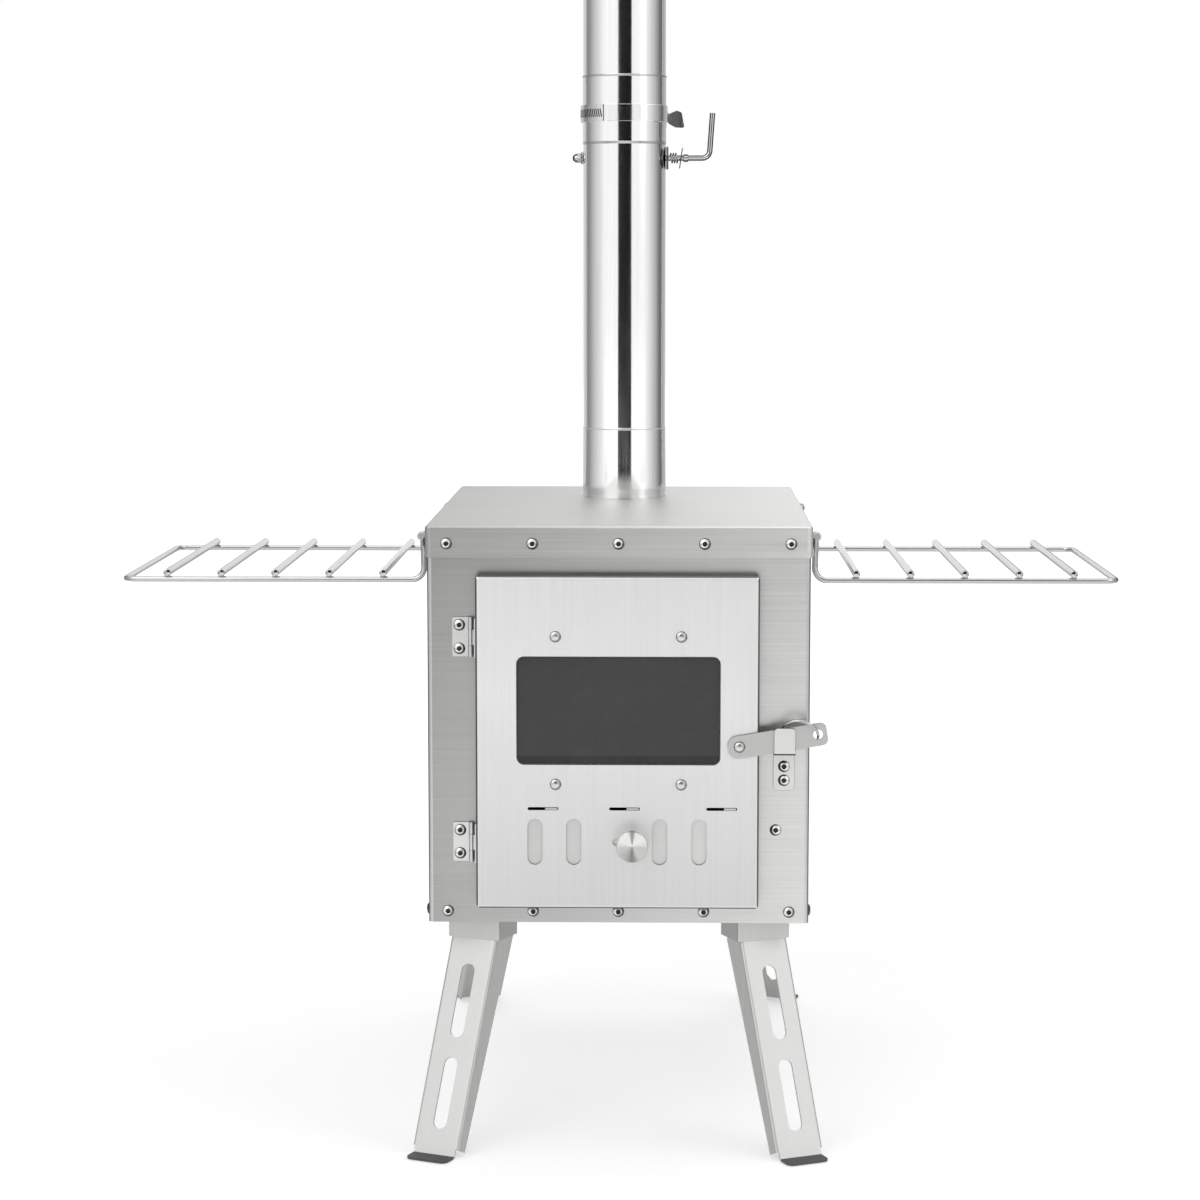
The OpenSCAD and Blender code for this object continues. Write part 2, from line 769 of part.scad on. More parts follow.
module hinge_door_leaves() {
    color("silver") for (share = hinge_shares) {
        z = door_top - share * door_h;
        l = knuckle_shares[1] * hinge_h - 2 * gap;
        low = z - hinge_h / 2 + knuckle_shares[0] * hinge_h + gap;
        difference() {
            union() {
                translate([hinge_x, hinge_y, low]) cylinder(r = knuckle_r, h = l, $fn = mid_fn);
                translate([hinge_x, hinge_y - knuckle_r, low])
                    cube([door_left - hinge_x, hinge_leaf_t, l]);
                translate([door_left - hinge_leaf_t, door_face + door_fold_r, z - hinge_h / 2])
                    cube([hinge_leaf_t, hinge_y - door_face - door_fold_r, hinge_h]);
            }
            pin_hole(z);
        }
    }
}

module hinge_pins() {
    color("gray") for (share = hinge_shares)
        translate([hinge_x, hinge_y, door_top - share * door_h - hinge_h / 2])
            cylinder(d = hinge_pin_d, h = hinge_h, $fn = mid_fn);
}

module hinge_rivets() {
    color("silver") for (share = hinge_shares, s = [-1, 1])
        face_front(hinge_rivet_x, front_y - hinge_leaf_t, door_top - share * door_h + s * hinge_rivet_up)
            rivet_head(rivet_d, hinge_head_h);
}

// Bracket riveted to the frame: plate, ledge and an upturned flap that holds the latch bar in
module latch_catch() {
    mid = latch_x + catch_x + catch_w / 2;
    flap_back = latch_back - latch_t - gap;
    low = catch_ledge_z - catch_t - catch_plate_h;
    color("gainsboro") {
        upright(front_y, catch_t) translate([mid, catch_ledge_z - catch_plate_h / 2 - catch_t / 2])
            round_rect(catch_w, catch_plate_h + catch_t, catch_corner_r);
        translate([mid - catch_w / 2, flap_back - catch_t, catch_ledge_z - catch_t])
            cube([catch_w, front_y - flap_back + catch_t, catch_t]);
        upright(flap_back, catch_t) union() {
            translate([mid, catch_ledge_z + catch_flap_h / 2 - catch_t / 2])
                round_rect(catch_w, catch_flap_h + catch_t, catch_corner_r);
            translate([mid, catch_ledge_z + catch_corner_r - catch_t / 2])
                square([catch_w, 2 * catch_corner_r + catch_t], center = true);
        }
    }
}

module catch_rivets() {
    mid = latch_x + catch_x + catch_w / 2;
    color("silver") {
        for (drop = catch_rivet_drops)
            face_front(mid, front_y - catch_t, catch_ledge_z - catch_t - drop) rivet_head(rivet_d, rivet_h);
        face_front(latch_x + lone_rivet_x, front_y, latch_z - lone_rivet_drop) rivet_head(rivet_d, rivet_h);
    }
}

// Door pan: a sheet folded back all round, with the window, guide slots and air slots cut in it
module door_panel() {
    low = door_top - door_h;
    color("whitesmoke") difference() {
        union() {
            translate([door_x, door_face, low]) linear_extrude(door_h)
                tray_section(door_w, door_depth, sheet_t, door_fold_r);
            for (z = [low, door_top - sheet_t])
                translate([door_x, door_face, z]) linear_extrude(sheet_t) intersection() {
                    translate([0, door_depth])
                        round_rect(door_w - sheet_t, 2 * door_depth - sheet_t, door_fold_r - sheet_t / 2);
                    translate([-door_w / 2, 0]) square([door_w, door_depth]);
                }
        }
        upright(door_face + sheet_t + over, sheet_t + 2 * over) {
            translate([window_x, window_mid]) round_rect(window_w, window_h, window_r);
            for (share = air_x_shares)
                translate([door_x + share * door_w, air_z]) slot_shape(air_slot_w, air_slot_h);
            for (share = guide_x_shares)
                translate([door_x + share * door_w, guide_z]) rotate(90) slot_shape(guide_h, guide_l);
            translate([knob_x - air_travel / 2, air_z]) rotate(90)
                slot_shape(screw_d + 2 * screw_slot_gap, screw_d + 2 * screw_slot_gap + air_travel);
        }
        for (sx = [-1, 1], sz = [-1, 1])
            translate([window_x + sx * window_rivet_share * window_w, door_face - over,
                    window_mid + sz * (window_h / 2 + window_rivet_out)]) rotate([-90, 0, 0])
                cylinder(d = shank_d + 2 * pin_gap, h = 2 * sheet_t + over, $fn = small_fn);
        translate([latch_x, door_face - over, latch_z]) rotate([-90, 0, 0])
            cylinder(d = shank_d + 2 * pin_gap, h = 2 * sheet_t + over, $fn = small_fn);
    }
}

module window_sheet(y, t, lap) {
    upright(y, t) translate([window_x, window_mid])
        round_rect(window_w + 2 * lap, window_h + 2 * lap, window_r);
}

module window_gasket() {
    y = door_face + sheet_t + gasket_t;
    color("dimgray") difference() {
        window_sheet(y, gasket_t, glass_lap);
        window_sheet(y + over, gasket_t + 2 * over, -gasket_show);
    }
}

module window_glass() {
    color("darkslategray") window_sheet(door_face + sheet_t + gasket_t + glass_t, glass_t, glass_lap);
}

// Frame plate that clamps the glass; its four rivets pass outside the glass
module window_retainer() {
    y = door_face + sheet_t + gasket_t + glass_t + retainer_t;
    color("gray") difference() {
        window_sheet(y, retainer_t, retainer_lap);
        window_sheet(y + over, retainer_t + 2 * over, -gasket_show);
        for (sx = [-1, 1], sz = [-1, 1])
            translate([window_x + sx * window_rivet_share * window_w, y - retainer_t - over,
                    window_mid + sz * (window_h / 2 + window_rivet_out)]) rotate([-90, 0, 0])
                cylinder(d = shank_d + 2 * pin_gap, h = retainer_t + 2 * over, $fn = small_fn);
    }
}

module window_rivets() {
    l = sheet_t + gasket_t + glass_t + retainer_t;
    color("silver") for (sx = [-1, 1], sz = [-1, 1])
        face_front(window_x + sx * window_rivet_share * window_w, door_face,
                window_mid + sz * (window_h / 2 + window_rivet_out)) {
            dome_head(window_rivet_d, rivet_h);
            translate([0, 0, -l - rivet_h / 2]) cylinder(d = shank_d, h = l + rivet_h, $fn = small_fn);
            translate([0, 0, -l - rivet_h / 2]) cylinder(d = 2 * shank_d, h = rivet_h / 2, $fn = small_fn);
        }
}

// Pivot rivet of the latch: head, shoulder through the bar, and a tail behind the door's face
module latch_rivet() {
    l = latch_t + 2 * gap + sheet_t;
    color("silver") face_front(latch_x, latch_back - latch_t - gap, latch_z) {
        dome_head(window_rivet_d, rivet_h);
        translate([0, 0, -l - rivet_h / 2]) cylinder(d = shank_d, h = l + rivet_h, $fn = small_fn);
        translate([0, 0, -l - rivet_h / 2]) cylinder(d = 2 * shank_d, h = rivet_h / 2, $fn = small_fn);
    }
}

// Slide plate behind the door's face: its own air slots, and tabs that run in the guide slots
module air_plate() {
    y = door_face + sheet_t + gap + air_plate_t;
    left = door_x + air_x_shares[0] * door_w - air_slot_w / 2 - air_plate_edge;
    right = door_x + guide_x_shares[2] * door_w + guide_l / 2;
    top = guide_z + tab_t / 2;
    low = air_z - air_slot_h / 2 - air_plate_edge;
    color("lightgray") difference() {
        union() {
            translate([left, y - air_plate_t, low]) cube([right - left, air_plate_t, top - low]);
            for (share = guide_x_shares)
                translate([door_x + share * door_w - guide_l / 2 + air_travel + tab_end_gap,
                        door_face - tab_proud, guide_z - tab_t / 2])
                    cube([tab_l, y - door_face + tab_proud, tab_t]);
        }
        upright(y + over, air_plate_t + 2 * over) for (share = air_x_shares)
            translate([door_x + share * door_w + air_travel, air_z]) slot_shape(air_slot_w, air_slot_h);
        face_front(knob_x, y + over, air_z)
            cylinder(d = screw_d + 2 * pin_gap, h = air_plate_t + 2 * over, $fn = mid_fn);
    }
}

// Turned knob with a dished face
module air_knob() {
    r = knob_d / 2;
    neck = knob_neck_d / 2;
    bore = screw_d / 2 + pin_gap;
    color("silver") face_front(knob_x, door_face - knob_gap, air_z) rotate_extrude($fn = large_fn)
        polygon([[bore, 0], [neck, 0], [neck, knob_h * 0.3], [r * 0.62, knob_h * 0.5],
            [r, knob_h - knob_rim_h], [r, knob_h - knob_rim_h / 3], [r * 0.95, knob_h],
            [0, knob_h - knob_dish], [0, knob_h * 0.6], [bore, knob_h * 0.6]]);
}

module knob_screw() {
    head_y = door_face + sheet_t + gap + air_plate_t;
    l = head_y - door_face + knob_gap + knob_h / 2;
    color("gray") face_front(knob_x, head_y, air_z) {
        cylinder(d = screw_d, h = l, $fn = mid_fn);
        translate([0, 0, -screw_d / 2]) cylinder(d = 2 * screw_d, h = screw_d / 2, $fn = 6);
    }
}

// Places children in the latch bar's own plane, with X along the bar from its pivot
module in_latch(y) {
    translate([latch_x, y, latch_z]) rotate([90, -latch_rise, 0]) children();
}

module latch_bar() {
    l = latch_reach + latch_tip;
    color("lightgray") in_latch(latch_back) difference() {
        linear_extrude(latch_t) union() {
            circle(d = latch_w, $fn = mid_fn);
            translate([0, -latch_w / 2]) square([l - latch_tip_r, latch_w]);
            translate([l / 2, 0]) round_rect(l, latch_w, latch_tip_r);
        }
        translate([0, 0, -over]) cylinder(d = shank_d + 2 * pin_gap, h = latch_t + 2 * over, $fn = mid_fn);
        translate([latch_reach, 0, -over]) cylinder(d = ring_hole_d, h = latch_t + 2 * over, $fn = mid_fn);
    }
}

// The ring passes through the bar's hole and over its top edge; it turns about that line
ring_chord = ring_far - ring_near;
ring_turn = atan2(ring_chord[1], ring_chord[0]);
ring_mid_drop = sqrt(ring_r * ring_r - ring_chord * ring_chord / 4);
module latch_ring() {
    color("silver") in_latch(latch_y) translate([ring_near[0], ring_near[1], 0])
        rotate([0, 0, ring_turn]) rotate([-ring_tilt, 0, 0])
            translate([norm(ring_chord) / 2, ring_mid_drop, 0]) rotate_extrude($fn = mid_fn)
                translate([ring_r, 0]) circle(d = ring_wire_d, $fn = ring_fn);
}

// Carries children from the front left pin frame to any of the four corners
module at_leg(side, end) {
    translate([side * leg_pin_x, end * leg_pin_y, leg_pin_z]) mirror([0, end > 0 ? 1 : 0, 0])
        rotate([0, 0, side * leg_yaw]) children();
}

module across(d, l, fn) {
    translate([-l / 2, 0, 0]) rotate([0, 90, 0]) cylinder(d = d, h = l, $fn = fn);
}

module leg_brackets() {
    w = bracket_w;
    front = bracket_stop + leg_t;
    color("gainsboro") for (side = [-1, 1], end = [-1, 1]) at_leg(side, end) difference() {
        translate([-w / 2, -front, leg_pin_drop - bracket_h]) cube([w, front + bracket_back, bracket_h]);
        translate([leg_t - w / 2, -bracket_stop, leg_pin_drop - bracket_h - over])
            cube([w - 2 * leg_t, bracket_stop + bracket_back + over, bracket_h - leg_t + over]);
        across(leg_pin_d + 2 * pin_gap, w + 2 * over, mid_fn);
    }
}

module leg_pins() {
    color("gray") for (side = [-1, 1], end = [-1, 1]) at_leg(side, end)
        across(leg_pin_d, bracket_w, mid_fn);
}

// Channel leg: slotted face, two tapering flanges on the pin, and a foot bent level with the ground
module leg(side, end) {
    flange_low = leg_flange_lift - leg_reach;
    foot_out = [-foot_l * cos(leg_tilt), -foot_l * sin(leg_tilt)];
    foot_up = [-leg_t * sin(leg_tilt), leg_t * cos(leg_tilt)];
    toe = [-leg_face, -leg_reach] + foot_out;
    color("whitesmoke") at_leg(side, end) rotate([-leg_tilt, 0, 0]) difference() {
        union() {
            sideways(-leg_w / 2, leg_w)
                polygon([toe, [leg_t - leg_face, leg_t * tan(leg_tilt) - leg_reach],
                    [leg_t - leg_face, leg_top], [-leg_face, leg_top],
                    [-leg_face, leg_t / cos(leg_tilt) - leg_reach], toe + foot_up]);
            for (x = [-leg_w / 2, leg_w / 2 - leg_t])
                sideways(x, leg_t)
                    polygon([[leg_t / 2 - leg_face, leg_top],
                        [leg_flange_top - leg_face - leg_corner, leg_top],
                        [leg_flange_top - leg_face, leg_top - leg_corner],
                        [leg_flange_top - leg_face, -leg_corner],
                        [leg_flange_end - leg_face, flange_low], [leg_t / 2 - leg_face, flange_low]]);
        }
        translate([0, -leg_face, -leg_reach]) rotate([leg_tilt, 0, 0]) translate([0, 0, -over])
            linear_extrude(leg_t + 2 * over) for (s = [-1, 1])
                polygon([[s * (leg_w / 2 - foot_r), -foot_l - over], [s * (leg_w / 2 + over), -foot_l - over],
                    [s * (leg_w / 2 + over), foot_r - foot_l]]);
        for (s = leg_slot_shares)
            translate([0, over - leg_face + leg_t, -(s[0] + s[1]) / 2 * leg_reach]) rotate([90, 0, 0])
                linear_extrude(leg_t + 2 * over) slot_shape(leg_slot_w, (s[1] - s[0]) * leg_reach);
        across(leg_pin_d + 2 * pin_gap, leg_w + 2 * over, mid_fn);
    }
}

module leg_front_left() {
    leg(-1, -1);
}

module leg_front_right() {
    leg(1, -1);
}

module leg_rear_left() {
    leg(-1, 1);
}

module leg_rear_right() {
    leg(1, 1);
}

// Places of the two eyes of a rack, by their middles
eye_ys = [rack_front - rack_wire_d / 2 - gap - eye_l / 2, rack_back + rack_wire_d / 2 + gap + eye_l / 2];

module rack_brackets() {
    color("silver") for (side = [-1, 1], y = eye_ys) mirror([side > 0 ? 0 : 1, 0, 0])
        translate([0, y + eye_l / 2, 0]) rotate([90, 0, 0]) difference() {
            union() {
                translate([eye_x, eye_z]) cylinder(r = eye_r, h = eye_l, $fn = mid_fn);
                translate([rim_w / 2, eye_z - strap_h]) cube([strap_t, strap_h, eye_l]);
                translate([rim_w / 2, eye_z - strap_t]) cube([eye_x - rim_w / 2, strap_t, eye_l]);
            }
            translate([eye_x, eye_z, -over])
                cylinder(d = rack_pin_d + 2 * pin_gap, h = eye_l + 2 * over, $fn = mid_fn);
        }
}

module rack_rivets() {
    color("silver") for (side = [-1, 1], y = eye_ys)
        translate([side * (rim_w / 2 + strap_t), y, eye_z - strap_h * strap_rivet_share])
            rotate([0, side * 90, 0]) rivet_head(rivet_d, rivet_h / 2);
}

// Path of a rack's frame wire, from the front eye round to the back eye
function corner(c, u, v, r) = [for (k = [0:wire_bend_steps]) let (a = 90 * k / wire_bend_steps)
    c + r * (1 - sin(a)) * u + r * (1 - cos(a)) * v];
module rack_frame(side) {
    top_f = [eye_x, rack_front, eye_z + rack_wire_d / 2];
    top_b = [eye_x, rack_back, eye_z + rack_wire_d / 2];
    down_f = corner([rack_arm_x, rack_front, rack_z], [0, 0, 1], [1, 0, 0], rack_bend_r);
    out_f = corner([rack_out, rack_front, rack_z], [-1, 0, 0], [0, 1, 0], rack_bend_r);
    out_b = corner([rack_out, rack_back, rack_z], [0, -1, 0], [-1, 0, 0], rack_bend_r);
    down_b = corner([rack_arm_x, rack_back, rack_z], [1, 0, 0], [0, 0, 1], rack_bend_r);
    path = concat([top_f], down_f, out_f, out_b, down_b, [top_b]);
    arm_n = wire_bend_steps + 2;
    cross_dir = [for (i = [0:len(path) - 1])
        i < arm_n ? [0, 1, 0] : i >= len(path) - arm_n ? [0, -1, 0] : cross([0, 0, 1], path_dir(path, i))];
    color("silver") mirror([side > 0 ? 0 : 1, 0, 0]) {
        swept_wire(path, cross_dir, rack_wire_d / 2, wire_sides);
        for (s = [[rack_front, 1], [rack_back, -1]])
            translate([eye_x, s[0], eye_z]) rotate([s[1] * 90, 0, 0])
                cylinder(d = rack_pin_d, h = rack_wire_d / 2 + gap + eye_l, $fn = mid_fn);
    }
}

module rack_rod_set(side) {
    color("silver") for (i = [0:rack_rods - 1])
        translate([side * (rod_first_x + i * rod_pitch), rack_front - rack_rod_over, rod_z])
            rotate([-90, 0, 0])
                cylinder(d = rack_rod_d, h = rack_l + 2 * rack_rod_over, $fn = small_fn);
}

module rack_frame_left() {
    rack_frame(-1);
}

module rack_frame_right() {
    rack_frame(1);
}

module rack_rods_left() {
    rack_rod_set(-1);
}

module rack_rods_right() {
    rack_rod_set(1);
}

top_plate();
front_frame();
back_panel();
side_panel_left();
side_panel_right();
base_pan();
rim_rivets();
base_rivets();
fire_grate();
flue_collar();
damper_pipe();
clamp_band();
clamp_screw();
upper_pipe();
cap_screen();
cap_hat();
damper_rod();
damper_disc();
damper_spring();
damper_washers();
damper_nut();
hinge_frame_leaves();
hinge_pins();
hinge_rivets();
latch_catch();
catch_rivets();
door_panel();
window_glass();
window_gasket();
window_retainer();
window_rivets();
hinge_door_leaves();
latch_rivet();
air_plate();
air_knob();
knob_screw();
latch_bar();
latch_ring();
leg_brackets();
leg_pins();
leg_front_left();
leg_front_right();
leg_rear_left();
leg_rear_right();
rack_brackets();
rack_rivets();
rack_frame_left();
rack_rods_left();
rack_frame_right();
rack_rods_right();
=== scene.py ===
import json
import math
import bpy
from mathutils import Matrix, Vector


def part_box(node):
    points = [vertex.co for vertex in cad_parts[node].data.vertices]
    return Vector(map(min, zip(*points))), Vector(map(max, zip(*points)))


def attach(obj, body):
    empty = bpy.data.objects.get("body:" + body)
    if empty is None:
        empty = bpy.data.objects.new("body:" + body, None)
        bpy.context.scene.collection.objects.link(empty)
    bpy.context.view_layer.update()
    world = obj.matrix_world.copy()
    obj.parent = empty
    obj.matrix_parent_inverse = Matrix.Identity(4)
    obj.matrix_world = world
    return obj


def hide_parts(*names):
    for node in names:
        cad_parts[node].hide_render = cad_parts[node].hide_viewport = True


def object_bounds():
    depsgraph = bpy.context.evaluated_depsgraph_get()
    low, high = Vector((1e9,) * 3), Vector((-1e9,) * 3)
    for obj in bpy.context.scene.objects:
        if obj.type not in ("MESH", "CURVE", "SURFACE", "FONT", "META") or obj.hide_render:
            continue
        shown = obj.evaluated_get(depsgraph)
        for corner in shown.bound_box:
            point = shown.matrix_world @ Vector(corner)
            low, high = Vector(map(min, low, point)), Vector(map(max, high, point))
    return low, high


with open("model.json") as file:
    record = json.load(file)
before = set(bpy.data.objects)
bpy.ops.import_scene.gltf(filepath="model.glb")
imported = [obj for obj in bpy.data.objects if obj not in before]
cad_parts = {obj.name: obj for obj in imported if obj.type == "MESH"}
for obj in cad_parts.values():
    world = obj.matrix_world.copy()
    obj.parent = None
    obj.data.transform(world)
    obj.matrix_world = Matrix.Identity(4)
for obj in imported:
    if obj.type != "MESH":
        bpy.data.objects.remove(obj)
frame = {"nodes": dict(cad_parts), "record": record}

cadLow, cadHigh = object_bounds()
print("stove frame loaded")

mm = 0.001
fullTurn = 2 * math.pi
quarterTurn = math.pi / 2

# how near two vertices are before they become one
weldWide = 0.00002
weldLoose = 0.000005
weldWire = 0.000002
weldFine = 0.000001


# work bench: small helpers for modelling by hand

def clearSelection():
    if bpy.context.object and bpy.context.object.mode != "OBJECT":
        bpy.ops.object.mode_set(mode="OBJECT")
    bpy.ops.object.select_all(action="DESELECT")


def pickUp(piece):
    clearSelection()
    piece.select_set(True)
    bpy.context.view_layer.objects.active = piece


def settle(piece, name):
    # puts the object at the origin with its place in its mesh
    pickUp(piece)
    piece.name = name
    piece.data.name = name
    bpy.ops.object.transform_apply(location=True, rotation=True, scale=True)
    return piece


def editOn(piece, mode="FACE"):
    pickUp(piece)
    bpy.ops.object.mode_set(mode="EDIT")
    bpy.ops.mesh.select_mode(type=mode)
    bpy.ops.mesh.select_all(action="DESELECT")


def editOff():
    bpy.ops.object.mode_set(mode="OBJECT")


def selectAll(piece, mode="VERT"):
    editOn(piece, mode)
    bpy.ops.mesh.select_all(action="SELECT")


def selectSpots(piece, wanted):
    editOn(piece, "VERT")
    editOff()
    for spot in piece.data.vertices:
        spot.select = bool(wanted(spot.co))
    bpy.ops.object.mode_set(mode="EDIT")


def selectFaces(piece, wanted):
    editOn(piece, "FACE")
    editOff()
    for face in piece.data.polygons:
        face.select = bool(wanted(face.center, face.normal))
    bpy.ops.object.mode_set(mode="EDIT")


def selectEdges(piece, wanted):
    editOn(piece, "EDGE")
    editOff()
    spots = piece.data.vertices
    for edge in piece.data.edges:
        edge.select = bool(wanted(spots[edge.vertices[0]].co, spots[edge.vertices[1]].co))
    bpy.ops.object.mode_set(mode="EDIT")


def makeBlock(name, low, high):
    clearSelection()
    middle = [(a + b) / 2 for a, b in zip(low, high)]
    bpy.ops.mesh.primitive_cube_add(size=1, location=middle)
    piece = bpy.context.object
    piece.scale = [b - a for a, b in zip(low, high)]
    return settle(piece, name)


def makeRod(name, radius, length, spot, along="Z", sides=32):
    # a round bar or a nut, also to drill with
    turns = {"Z": (0, 0, 0), "X": (0, quarterTurn, 0), "Y": (quarterTurn, 0, 0)}
    clearSelection()
    bpy.ops.mesh.primitive_cylinder_add(vertices=sides, radius=radius, depth=length, location=spot,
                                        rotation=turns[along])
    return settle(bpy.context.object, name)


def roundEdges(piece, wanted, width, steps):
    selectEdges(piece, wanted)
    bpy.ops.mesh.bevel(offset=width, segments=steps, affect="EDGES", clamp_overlap=True)
    editOff()


def removeFaces(piece, wanted):
    selectFaces(piece, wanted)
    bpy.ops.mesh.delete(type="FACE")
    editOff()


def applyModifier(piece, kind, **settings):
    pickUp(piece)
    modifier = piece.modifiers.new(kind.lower(), kind)
    for key, value in settings.items():
        setattr(modifier, key, value)
    bpy.ops.object.modifier_apply(modifier=modifier.name)


def giveWall(piece, thickness, offset=-1):
    # gives a skin its sheet: inwards at -1, both ways at 0
    applyModifier(piece, "SOLIDIFY", thickness=thickness, offset=offset, use_even_offset=True)


def softenEdges(piece, width, steps, degrees):
    # a small round on every edge that turns by more than the angle
    applyModifier(piece, "BEVEL", width=width, segments=steps, limit_method="ANGLE",
                  angle_limit=math.radians(degrees))


def cutOut(piece, cutters):
    for cutter in cutters:
        applyModifier(piece, "BOOLEAN", operation="DIFFERENCE", solver="EXACT", object=cutter)
        bpy.data.objects.remove(cutter)


def smooth(piece, degrees=32):
    pickUp(piece)
    bpy.ops.object.shade_smooth_by_angle(angle=math.radians(degrees))


def crisp(piece, degrees=35):
    # smooth shading that leaves the flat faces flat
    smooth(piece, degrees)
    applyModifier(piece, "WEIGHTED_NORMAL", keep_sharp=True, weight=100)


def turnOutwards(piece):
    selectAll(piece, "FACE")
    bpy.ops.mesh.normals_make_consistent(inside=False)
    editOff()


def sheetInwards(piece, thickness):
    turnOutwards(piece)
    giveWall(piece, thickness)


def closeMesh(piece, near=weldWide):
    selectAll(piece)
    bpy.ops.mesh.remove_doubles(threshold=near)
    bpy.ops.mesh.normals_make_consistent(inside=False)
    editOff()


def pullOut(piece, step):
    # draws a line out into a strip
    selectAll(piece, "EDGE")
    bpy.ops.mesh.extrude_region_move(TRANSFORM_OT_translate={"value": step})
    editOff()


def joinPieces(name, parts):
    clearSelection()
    for part in parts:
        part.select_set(True)
    bpy.context.view_layer.objects.active = parts[0]
    bpy.ops.object.join()
    parts[0].name = name
    parts[0].data.name = name
    return parts[0]


def drawLine(name, spots, closed=False):
    # one vertex of a plane, drawn out from spot to spot
    clearSelection()
    bpy.ops.mesh.primitive_plane_add(size=0.01, location=spots[0])
    piece = settle(bpy.context.object, name)
    selectAll(piece)
    bpy.ops.mesh.merge(type="CENTER")
    for before, after in zip(spots, spots[1:]):
        step = [b - a for a, b in zip(before, after)]
        bpy.ops.mesh.extrude_region_move(TRANSFORM_OT_translate={"value": step})
    if closed:
        bpy.ops.mesh.select_all(action="SELECT")
        bpy.ops.mesh.edge_face_add()
    editOff()
    return piece


def makeWire(name, spots, radius, sides=4, closed=False):
    # a line turned into round wire; sides counts the rings of a quarter turn
    line = drawLine(name, spots + [spots[0]] if closed else spots)
    if closed:
        closeMesh(line, weldFine)
    pickUp(line)
    bpy.ops.object.convert(target="CURVE")
    wire = bpy.context.object
    wire.data.bevel_depth = radius
    wire.data.bevel_resolution = sides
    wire.data.use_fill_caps = not closed
    wire.data.splines[0].use_smooth = True
    bpy.ops.object.convert(target="MESH")
    wire = bpy.context.object
    closeMesh(wire, weldWire)
    smooth(wire, 50)
    return settle(wire, name)


def bend(corner, start, end, radius, steps=8):
    # points of a round bend at a corner between two straight runs
    into = (Vector(corner) - Vector(start)).normalized()
    out = (Vector(end) - Vector(corner)).normalized()
    half = into.angle(out) / 2
    reach = radius * math.tan(half)
    first = Vector(corner) - into * reach
    side = (out - into * out.dot(into)).normalized()
    spots = []
    for i in range(steps + 1):
        turn = 2 * half * i / steps
        spots.append(first + into * radius * math.sin(turn) + side * radius * (1 - math.cos(turn)))
    return spots


def bentPath(corners, radius, steps=8):
    spots = [Vector(corners[0])]
    for before, corner, after in zip(corners, corners[1:], corners[2:]):
        spots += bend(corner, before, after, radius, steps)
    return spots + [Vector(corners[-1])]


def turnPiece(name, outline, place, steps=48, degrees=32):
    # a lathe: the outline of radius and height is spun round Z, then put in its place
    spots = [(radius, 0, height) for radius, height in outline]
    piece = drawLine(name, spots)
    selectAll(piece)
    bpy.ops.mesh.spin(steps=steps, angle=fullTurn, center=(0, 0, 0), axis=(0, 0, 1))
    editOff()
    closeMesh(piece, weldFine)
    piece.matrix_world = place
    settle(piece, name)
    closeMesh(piece, weldFine)
    selectAll(piece)
    bpy.ops.mesh.delete_loose(use_verts=True, use_edges=True, use_faces=False)
    editOff()
    crisp(piece, degrees)
    return piece


def placeAt(spot, facing="+Z"):
    turns = {
        "+Z": Matrix.Identity(4),
        "-Z": Matrix.Rotation(math.pi, 4, "X"),
        "-Y": Matrix.Rotation(quarterTurn, 4, "X"),
        "+Y": Matrix.Rotation(-quarterTurn, 4, "X"),
        "+X": Matrix.Rotation(quarterTurn, 4, "Y"),
        "-X": Matrix.Rotation(-quarterTurn, 4, "Y"),
    }
    return Matrix.Translation(spot) @ turns[facing]


def roundPlate(name, low, high, y, depth, cornerRadius, soften=0.0):
    # an upright plate facing the front, with round corners
    plate = makeBlock(name, (low[0], y, low[1]), (high[0], y + depth, high[1]))
    roundEdges(plate, lambda a, b: abs(a.y - b.y) > depth / 2, cornerRadius, 6)
    if soften:
        softenEdges(plate, soften, 2, 50)
    crisp(plate, 40)
    return plate


def slotCutter(middle, length, width, y, depth, upright):
    # a cutter with round ends through a sheet that faces the front
    half = (width / 2, length / 2) if upright else (length / 2, width / 2)
    cutter = makeBlock("cutter", (middle[0] - half[0], y, middle[1] - half[1]),
                       (middle[0] + half[0], y + depth, middle[1] + half[1]))
    roundEdges(cutter, lambda a, b: abs(a.y - b.y) > depth / 2, width * 0.499, 6)
    return cutter


def finishPiece(piece, body, node, material):
    piece.data.materials.clear()
    piece.data.materials.append(material)
    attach(piece, body)
    for one in ([node] if isinstance(node, str) else node or []):
        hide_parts(one)
    return piece


def paintFaces(piece, kinds, others):
    # kinds holds the number of each face's material
    for material in others:
        piece.data.materials.append(material)
    for face, kind in zip(piece.data.polygons, kinds):
        face.material_index = kind


def paintWhere(piece, wanted, material):
    # a second material for the faces that look in a wanted direction
    paintFaces(piece, [1 if wanted(face.normal) else 0 for face in piece.data.polygons], [material])


def shadeSides(piece, material, limit=0.8):
    # painted shade: faces that turn away from the front get a dark material, for the darker edges of a flat
    # fitting seen from the front
    paintWhere(piece, lambda normal: abs(normal.y) < limit, material)


# finishes

def newMaterial(name):
    material = bpy.data.materials.new(name)
    material.use_nodes = True
    nodes = material.node_tree.nodes
    shader = nodes["Principled BSDF"]
    return material, nodes, material.node_tree.links, shader


def objectPlace(nodes):
    return nodes.new("ShaderNodeTexCoord").outputs["Object"]


